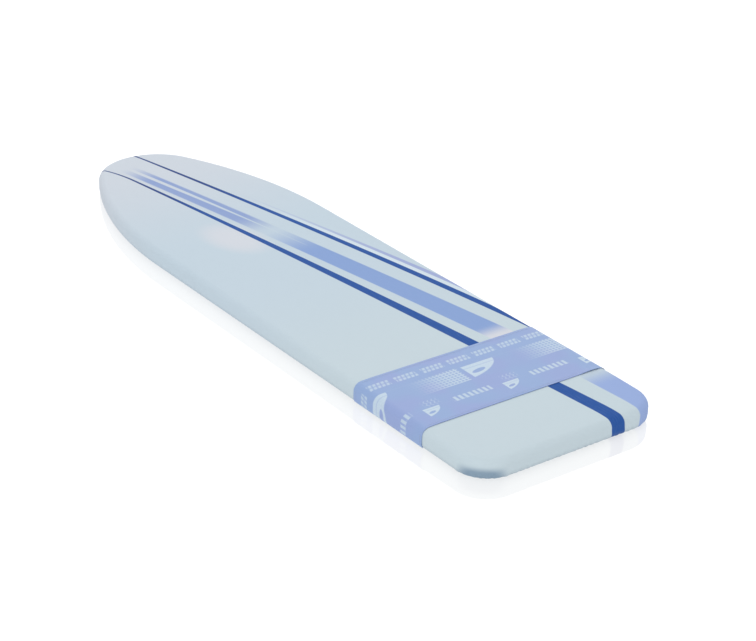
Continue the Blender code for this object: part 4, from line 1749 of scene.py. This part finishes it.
@dataclass
class Springs:
    """The two compression springs.

    Attributes:
        shop: Where the pieces are made.
        wire: The wire's radius.
        keep: The share of its length that a spring keeps when fully pressed; not used.
        latch_x: Where the catch's spring starts and ends.
        latch_z: The height of its axis.
        lock_y: Where the cord lock's spring starts and ends.
        lock_place: Its axis along the board and its height.
    """

    shop: Workshop
    wire: float = 0.0003
    keep: float = 0.36
    latch_x: tuple[float, float] = (-0.3202, -0.3063)
    latch_z: float = 0.0060
    lock_y: tuple[float, float] = (-0.0117, -0.0055)
    lock_place: tuple[float, float] = (0.4970, 0.0078)

    def coil(
        self,
        start: float,
        end: float,
        radius: float,
        turns: int,
        place: Callable[[float, float, float], Vector],
    ) -> list[Vector]:
        """The middle line of a spring with closed end turns.

        Args:
            start: Where it starts on its axis.
            end: Where it ends.
            radius: The coil's mean radius.
            turns: How many turns it has.
            place: Gives a point for a distance along the axis and the two across it.

        Returns:
            The places along the wire.
        """
        steps = 20 * turns
        low, high = start + self.wire, end - self.wire
        dead = 1.0 / turns
        line = []
        for index in range(steps + 1):
            share = index / steps
            open_share = min(1.0, max(0.0, (share - dead * 0.8) / (1.0 - dead * 1.6)))
            pitch = 2.1 * self.wire
            along = low + pitch * min(share, dead * 0.8) / dead
            along += (high - low - 2 * pitch * 0.8) * open_share
            along += pitch * max(0.0, share - (1.0 - dead * 0.8)) / dead
            angle = 2 * math.pi * turns * share
            line.append(place(along, radius * math.cos(angle), radius * math.sin(angle)))
        return line

    def build(self) -> None:
        """Make both springs."""
        tint = from_screen(190, 192, 196)
        steel = BareSteel("spring_wire", tint, (1.0, 1.0, 1.0), 0.24).material()
        z = self.latch_z
        line = self.coil(*self.latch_x, 0.0014, 7, lambda t, a, b: Vector((t, a, z + b)))
        mesh = self.shop.round_wire("latch_spring", line, self.wire, 2)
        made = self.shop.piece(
            "latch_spring_coil", mesh, steel, Slot.SPRING_STEEL, replaced=["latch_spring"]
        )
        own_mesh(made)
        x, z = self.lock_place
        line = self.coil(*self.lock_y, 0.0030, 4, lambda t, a, b: Vector((x + a, t, z + b)))
        mesh = self.shop.round_wire("cord_lock_spring", line, self.wire, 2)
        made = self.shop.piece(
            "cord_lock_spring_coil", mesh, steel, Slot.SPRING_STEEL, replaced=["cord_lock_spring"]
        )
        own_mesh(made)


@dataclass
class Padding:
    """The foam pad and the felt under it."""

    shop: Workshop
    outline: BoardOutline = field(default_factory=BoardOutline)
    edge: EdgeShape = field(default_factory=EdgeShape)

    def build(self) -> None:
        """Make both layers."""
        low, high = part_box("foam_pad")
        shape = board_prism(self.outline, 0.0022, low.z, high.z, 0.0060)
        round_edge(shape, widest_face(shape, True), 0.0070, 5)
        for width in (0.0060, 0.0080, 0.0110):
            step_in(shape, True, width)
        for vert in shape.verts:
            spot = self.outline.locate(vert.co.x, vert.co.y)
            fall = self.edge.fall(vert.co.x, spot, vert.co.z)
            vert.co.z -= fall * smooth(vert.co.z, low.z, low.z + 0.003)
        foam = self.shop.piece(
            "foam_pad_finished", shape, OpenFoam().material(), Slot.FOAM, replaced=["foam_pad"]
        )
        low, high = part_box("felt_underlay")
        inset = self.outline.length / 2 - high.x
        shape = board_prism(self.outline, inset, low.z, high.z, 0.0060)
        round_edge(shape, widest_face(shape, True), 0.0006, 2)
        round_edge(shape, widest_face(shape, False), 0.0006, 2)
        wool = PressedFelt().material()
        felt = self.shop.piece(
            "felt_underlay_pressed", shape, wool, Slot.FELT, replaced=["felt_underlay"]
        )
        self.outline.area(inset)


@dataclass
class SteelFrame:
    """The deck, the rim and what is fixed under the deck."""

    shop: Workshop
    outline: BoardOutline = field(default_factory=BoardOutline)
    rim_inset: float = 0.0091
    rim_radius: float = 0.0078
    rim_wall: float = 0.0012
    rim_z: float = 0.0104
    joint_x: float = -0.0200
    joint_gap: float = 0.0002
    hole_radius: float = 0.0125
    hole_step: tuple[float, float] = (0.0440, 0.0508)
    hole_margin: float = 0.0240
    first_hole: float = 0.0260
    lip_width: float = 0.0018
    lip_depth: float = 0.0009

    def build(self) -> None:
        """Make every piece."""
        coat = PowderCoat().material()
        self.build_rim(coat)
        deck = self.shop.nodes["mesh_deck"]
        deck.data.materials.clear()
        deck.data.materials.append(coat)
        self.build_lips(coat)
        bars = ("cross_bar_front", "cross_bar_middle", "cross_bar_rear")
        for name in bars + ("rack_rail_left", "rack_rail_right"):
            self.shop.eased(name, coat, Slot.COATED_STEEL, 0.0005)
        for name in ("leg_bracket_left", "leg_bracket_right"):
            self.shop.eased(name, coat, Slot.COATED_STEEL, 0.0006)
        zinc = BareSteel("zinc_plate", from_screen(200, 203, 208), (2.0, 2.0, 2.0)).material()
        rivets = [name for name in self.shop.nodes if "rivet" in name]
        for name in sorted(rivets):
            self.shop.eased(name, zinc, Slot.BARE_STEEL, 0.0003)
        drawn = BareSteel("drawn_steel", from_screen(186, 188, 192), (12.0, 1.0, 1.0)).material()
        for name in ("rim_spigot_left", "rim_spigot_right"):
            node = self.shop.nodes[name]
            node.data.materials.clear()
            node.data.materials.append(drawn)

    def build_rim(self, coat: bpy.types.Material) -> None:
        """The two bent tubes that meet on the straight sides."""
        side = self.outline.width / 2 - self.rim_inset
        radii = (self.rim_radius, self.rim_radius)
        outline = self.outline
        front_x, rear_x = self.joint_x - self.joint_gap, self.joint_x + self.joint_gap
        front = outline.nose_legs(self.rim_inset, front_x)
        run = outline.straight(outline.corner_x - rear_x, 0.0)
        back = outline.straight(rear_x - outline.corner_x, 0.0)
        rear = [
            run,
            outline.corner_leg(-1, self.rim_inset),
            outline.straight(0.0, 2 * outline.corner_y),
            outline.corner_leg(1, self.rim_inset),
            back,
        ]
        for name, legs, start in (
            ("rim_tube_front", front, Vector((front_x, side, self.rim_z))),
            ("rim_tube_rear", rear, Vector((rear_x, -side, self.rim_z))),
        ):
            shape = swept_tube(legs, start, radii, 20, 0.0060)
            made = self.shop.piece(name + "_finished", shape, coat, Slot.COATED_STEEL, replaced=[name])
            self.shop.thicken(made, self.rim_wall)

    def vents(self) -> list[tuple[float, float]]:
        """Centres of the deck's steam holes that nothing lies under."""
        fittings = [
            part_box(name)
            for name in self.shop.nodes
            if name.startswith(("cross_bar", "rack_rail", "leg_bracket", "latch_housing"))
        ]
        step_x, step_y = self.hole_step
        columns, rows = int(self.outline.length / step_x), int(self.outline.width / step_y) + 1
        reach = self.hole_radius + self.lip_width + 0.0010
        found = []
        for i in range(columns + 1):
            x = self.first_hole - self.outline.length / 2 + i * step_x
            for j in range(-rows, rows + 1):
                y = j * step_y + 0.5 * step_y * (i % 2)
                inside = self.outline.locate(x, y).inset > self.hole_margin
                clear = not any(
                    low.x - reach < x < high.x + reach and low.y - reach < y < high.y + reach
                    for low, high in fittings
                )
                if inside and clear:
                    found.append((x, y))
        return found

    def build_lips(self, coat: bpy.types.Material) -> None:
        """The pressed lip round each steam hole, under the deck."""
        low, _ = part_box("mesh_deck")
        shape = bmesh.new()
        for x, y in self.vents():
            place = Matrix.Translation((x, y, low.z)) @ Matrix.Rotation(math.pi / 6, 4, "Z")
            radius = self.hole_radius + self.lip_width
            outer = bmesh.ops.create_circle(
                shape, cap_ends=True, segments=6, radius=radius, matrix=place
            )
            face = outer["verts"][0].link_faces[0]
            ring = bmesh.ops.inset_individual(
                shape, faces=[face], thickness=self.lip_width * 0.9, depth=0.0, use_even_offset=True
            )["faces"]
            bmesh.ops.delete(shape, geom=[face], context="FACES_ONLY")
            moved = bmesh.ops.extrude_face_region(shape, geom=ring)["geom"]
            lower = [item for item in moved if isinstance(item, BMVert)]
            bmesh.ops.translate(shape, verts=lower, vec=(0.0, 0.0, -self.lip_depth))
        bmesh.ops.recalc_face_normals(shape, faces=shape.faces[:])
        made = self.shop.piece("deck_hole_lips", shape, coat, Slot.COATED_STEEL, crease=40)
        bevel = made.modifiers.new("eased_edges", "BEVEL")
        bevel.width = 0.0004
        bevel.segments = 2
        bevel.limit_method = "ANGLE"
        bevel.angle_limit = math.radians(50)


@dataclass
class SlidingCatch:
    """The catch that holds the folded leg bar."""

    shop: Workshop

    def build(self) -> None:
        """Make the housing and the slider."""
        pale = MouldedPlastic("housing_plastic", from_screen(206, 210, 216)).material()
        blue = MouldedPlastic("slider_plastic", from_screen(70, 112, 184)).material()
        self.shop.eased("latch_housing", pale, Slot.PALE_PLASTIC, 0.0004)
        self.shop.eased("latch_slider", blue, Slot.BLUE_PLASTIC, 0.0005, Body.LATCH)


@dataclass(frozen=True)
class Panel:
    """One large soft light.

    Attributes:
        name: Its name.
        place: Its centre.
        size: Its width and height.
        radiance: How bright its surface is.
        colour: Its colour.
        aim: The point that it faces.
    """

    name: str
    place: tuple[float, float, float]
    size: tuple[float, float]
    radiance: float
    colour: Colour = (1.0, 1.0, 1.0)
    aim: tuple[float, float, float] = (0.0, 0.0, 0.0)

    def build(self, collection: bpy.types.Collection) -> None:
        """Add the light to the collection."""
        data = bpy.data.lights.new(self.name, "AREA")
        data.shape = "RECTANGLE"
        data.size, data.size_y = self.size
        data.color = self.colour
        data.energy = self.radiance * math.pi * self.size[0] * self.size[1]
        lamp = bpy.data.objects.new(self.name, data)
        lamp.location = self.place
        facing = Vector(self.aim) - Vector(self.place)
        lamp.rotation_euler = facing.to_track_quat("-Z", "Y").to_euler()
        collection.objects.link(lamp)


@dataclass
class Studio:
    """Floor, light and camera.

    Attributes:
        collection: Where they are put.
        sky: The sky's strength.
        cool: The colour of the two lights in front.
        lens: The camera's focal length in millimetres, on a sensor 36 mm wide.
        camera_place: Where the camera stands.
        camera_aim: The point at the middle of its view.
        camera_roll: How far it leans about its line of sight.
        floor_reach: Half the floor's width.
    """

    collection: bpy.types.Collection
    sky: float = 0.55
    cool: Colour = (0.95, 1.0, 1.02)
    lens: float = 95.3
    camera_place: tuple[float, float, float] = (2.119, -1.472, 1.235)
    camera_aim: tuple[float, float, float] = (0.114, 0.019, 0.0)
    camera_roll: float = math.radians(1.30)
    floor_reach: float = 8.0

    def build(self) -> None:
        """Set up everything that isn't part of the object."""
        self.build_camera()
        self.build_floor()
        self.build_lights()
        bpy.context.scene.view_settings.view_transform = "Standard"
        bpy.context.scene.view_settings.look = "None"

    def build_camera(self) -> None:
        """The camera, with a long lens, above and in front of the wide end's left corner."""
        data = bpy.data.cameras.new("camera")
        data.sensor_width = 36.0
        data.lens = self.lens
        data.clip_start = 0.05
        data.clip_end = 60.0
        camera = bpy.data.objects.new("camera", data)
        self.collection.objects.link(camera)
        place = Vector(self.camera_place)
        facing = (Vector(self.camera_aim) - place).to_track_quat("-Z", "Y").to_matrix()
        turn = (facing @ Matrix.Rotation(self.camera_roll, 3, "Z")).to_4x4()
        turn.translation = place
        camera.matrix_world = turn
        bpy.context.scene.camera = camera

    def build_floor(self) -> None:
        """A large white floor."""
        shape = bmesh.new()
        bmesh.ops.create_grid(shape, x_segments=4, y_segments=4, size=self.floor_reach)
        mesh = bpy.data.meshes.new("floor")
        shape.to_mesh(mesh)
        shape.free()
        mesh.materials.append(StudioFloor().material())
        floor = bpy.data.objects.new("floor", mesh)
        self.collection.objects.link(floor)

    def build_lights(self) -> None:
        """A soft light above, a bright one behind, two cooler ones in front and an even sky."""
        panels = (
            Panel("overhead", (0.3, -0.1, 3.0), (4.0, 4.0), 0.74, aim=(0.1, 0.0, 0.0)),
            Panel("backdrop", (-3.0, 2.2, 1.9), (5.0, 2.6), 1.40),
            Panel("front", (0.4, -3.5, 1.2), (4.2, 2.0), 0.92, self.cool),
            Panel("end", (3.4, -0.6, 1.2), (4.0, 2.0), 0.66, self.cool),
        )
        for panel in panels:
            panel.build(self.collection)
        world = bpy.data.worlds.new("sky")
        world.use_nodes = True
        sky = world.node_tree.nodes["Background"]
        sky.inputs["Color"].default_value = (1.0, 1.0, 1.0, 1.0)
        sky.inputs["Strength"].default_value = self.sky
        bpy.context.scene.world = world


def main() -> None:
    """Build the board's visual model around its CAD frame."""
    logging.basicConfig(level=logging.INFO, format="%(name)s %(message)s")
    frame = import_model()
    collection = bpy.context.scene.collection
    Studio(collection).build()
    shop = Workshop(collection, frame["nodes"])
    SteelFrame(shop).build()
    Padding(shop).build()
    FittedCover(shop).build()
    Drawstring(shop).build()
    Springs(shop).build()
    SlidingCatch(shop).build()


if __name__ == "__main__":
    main()
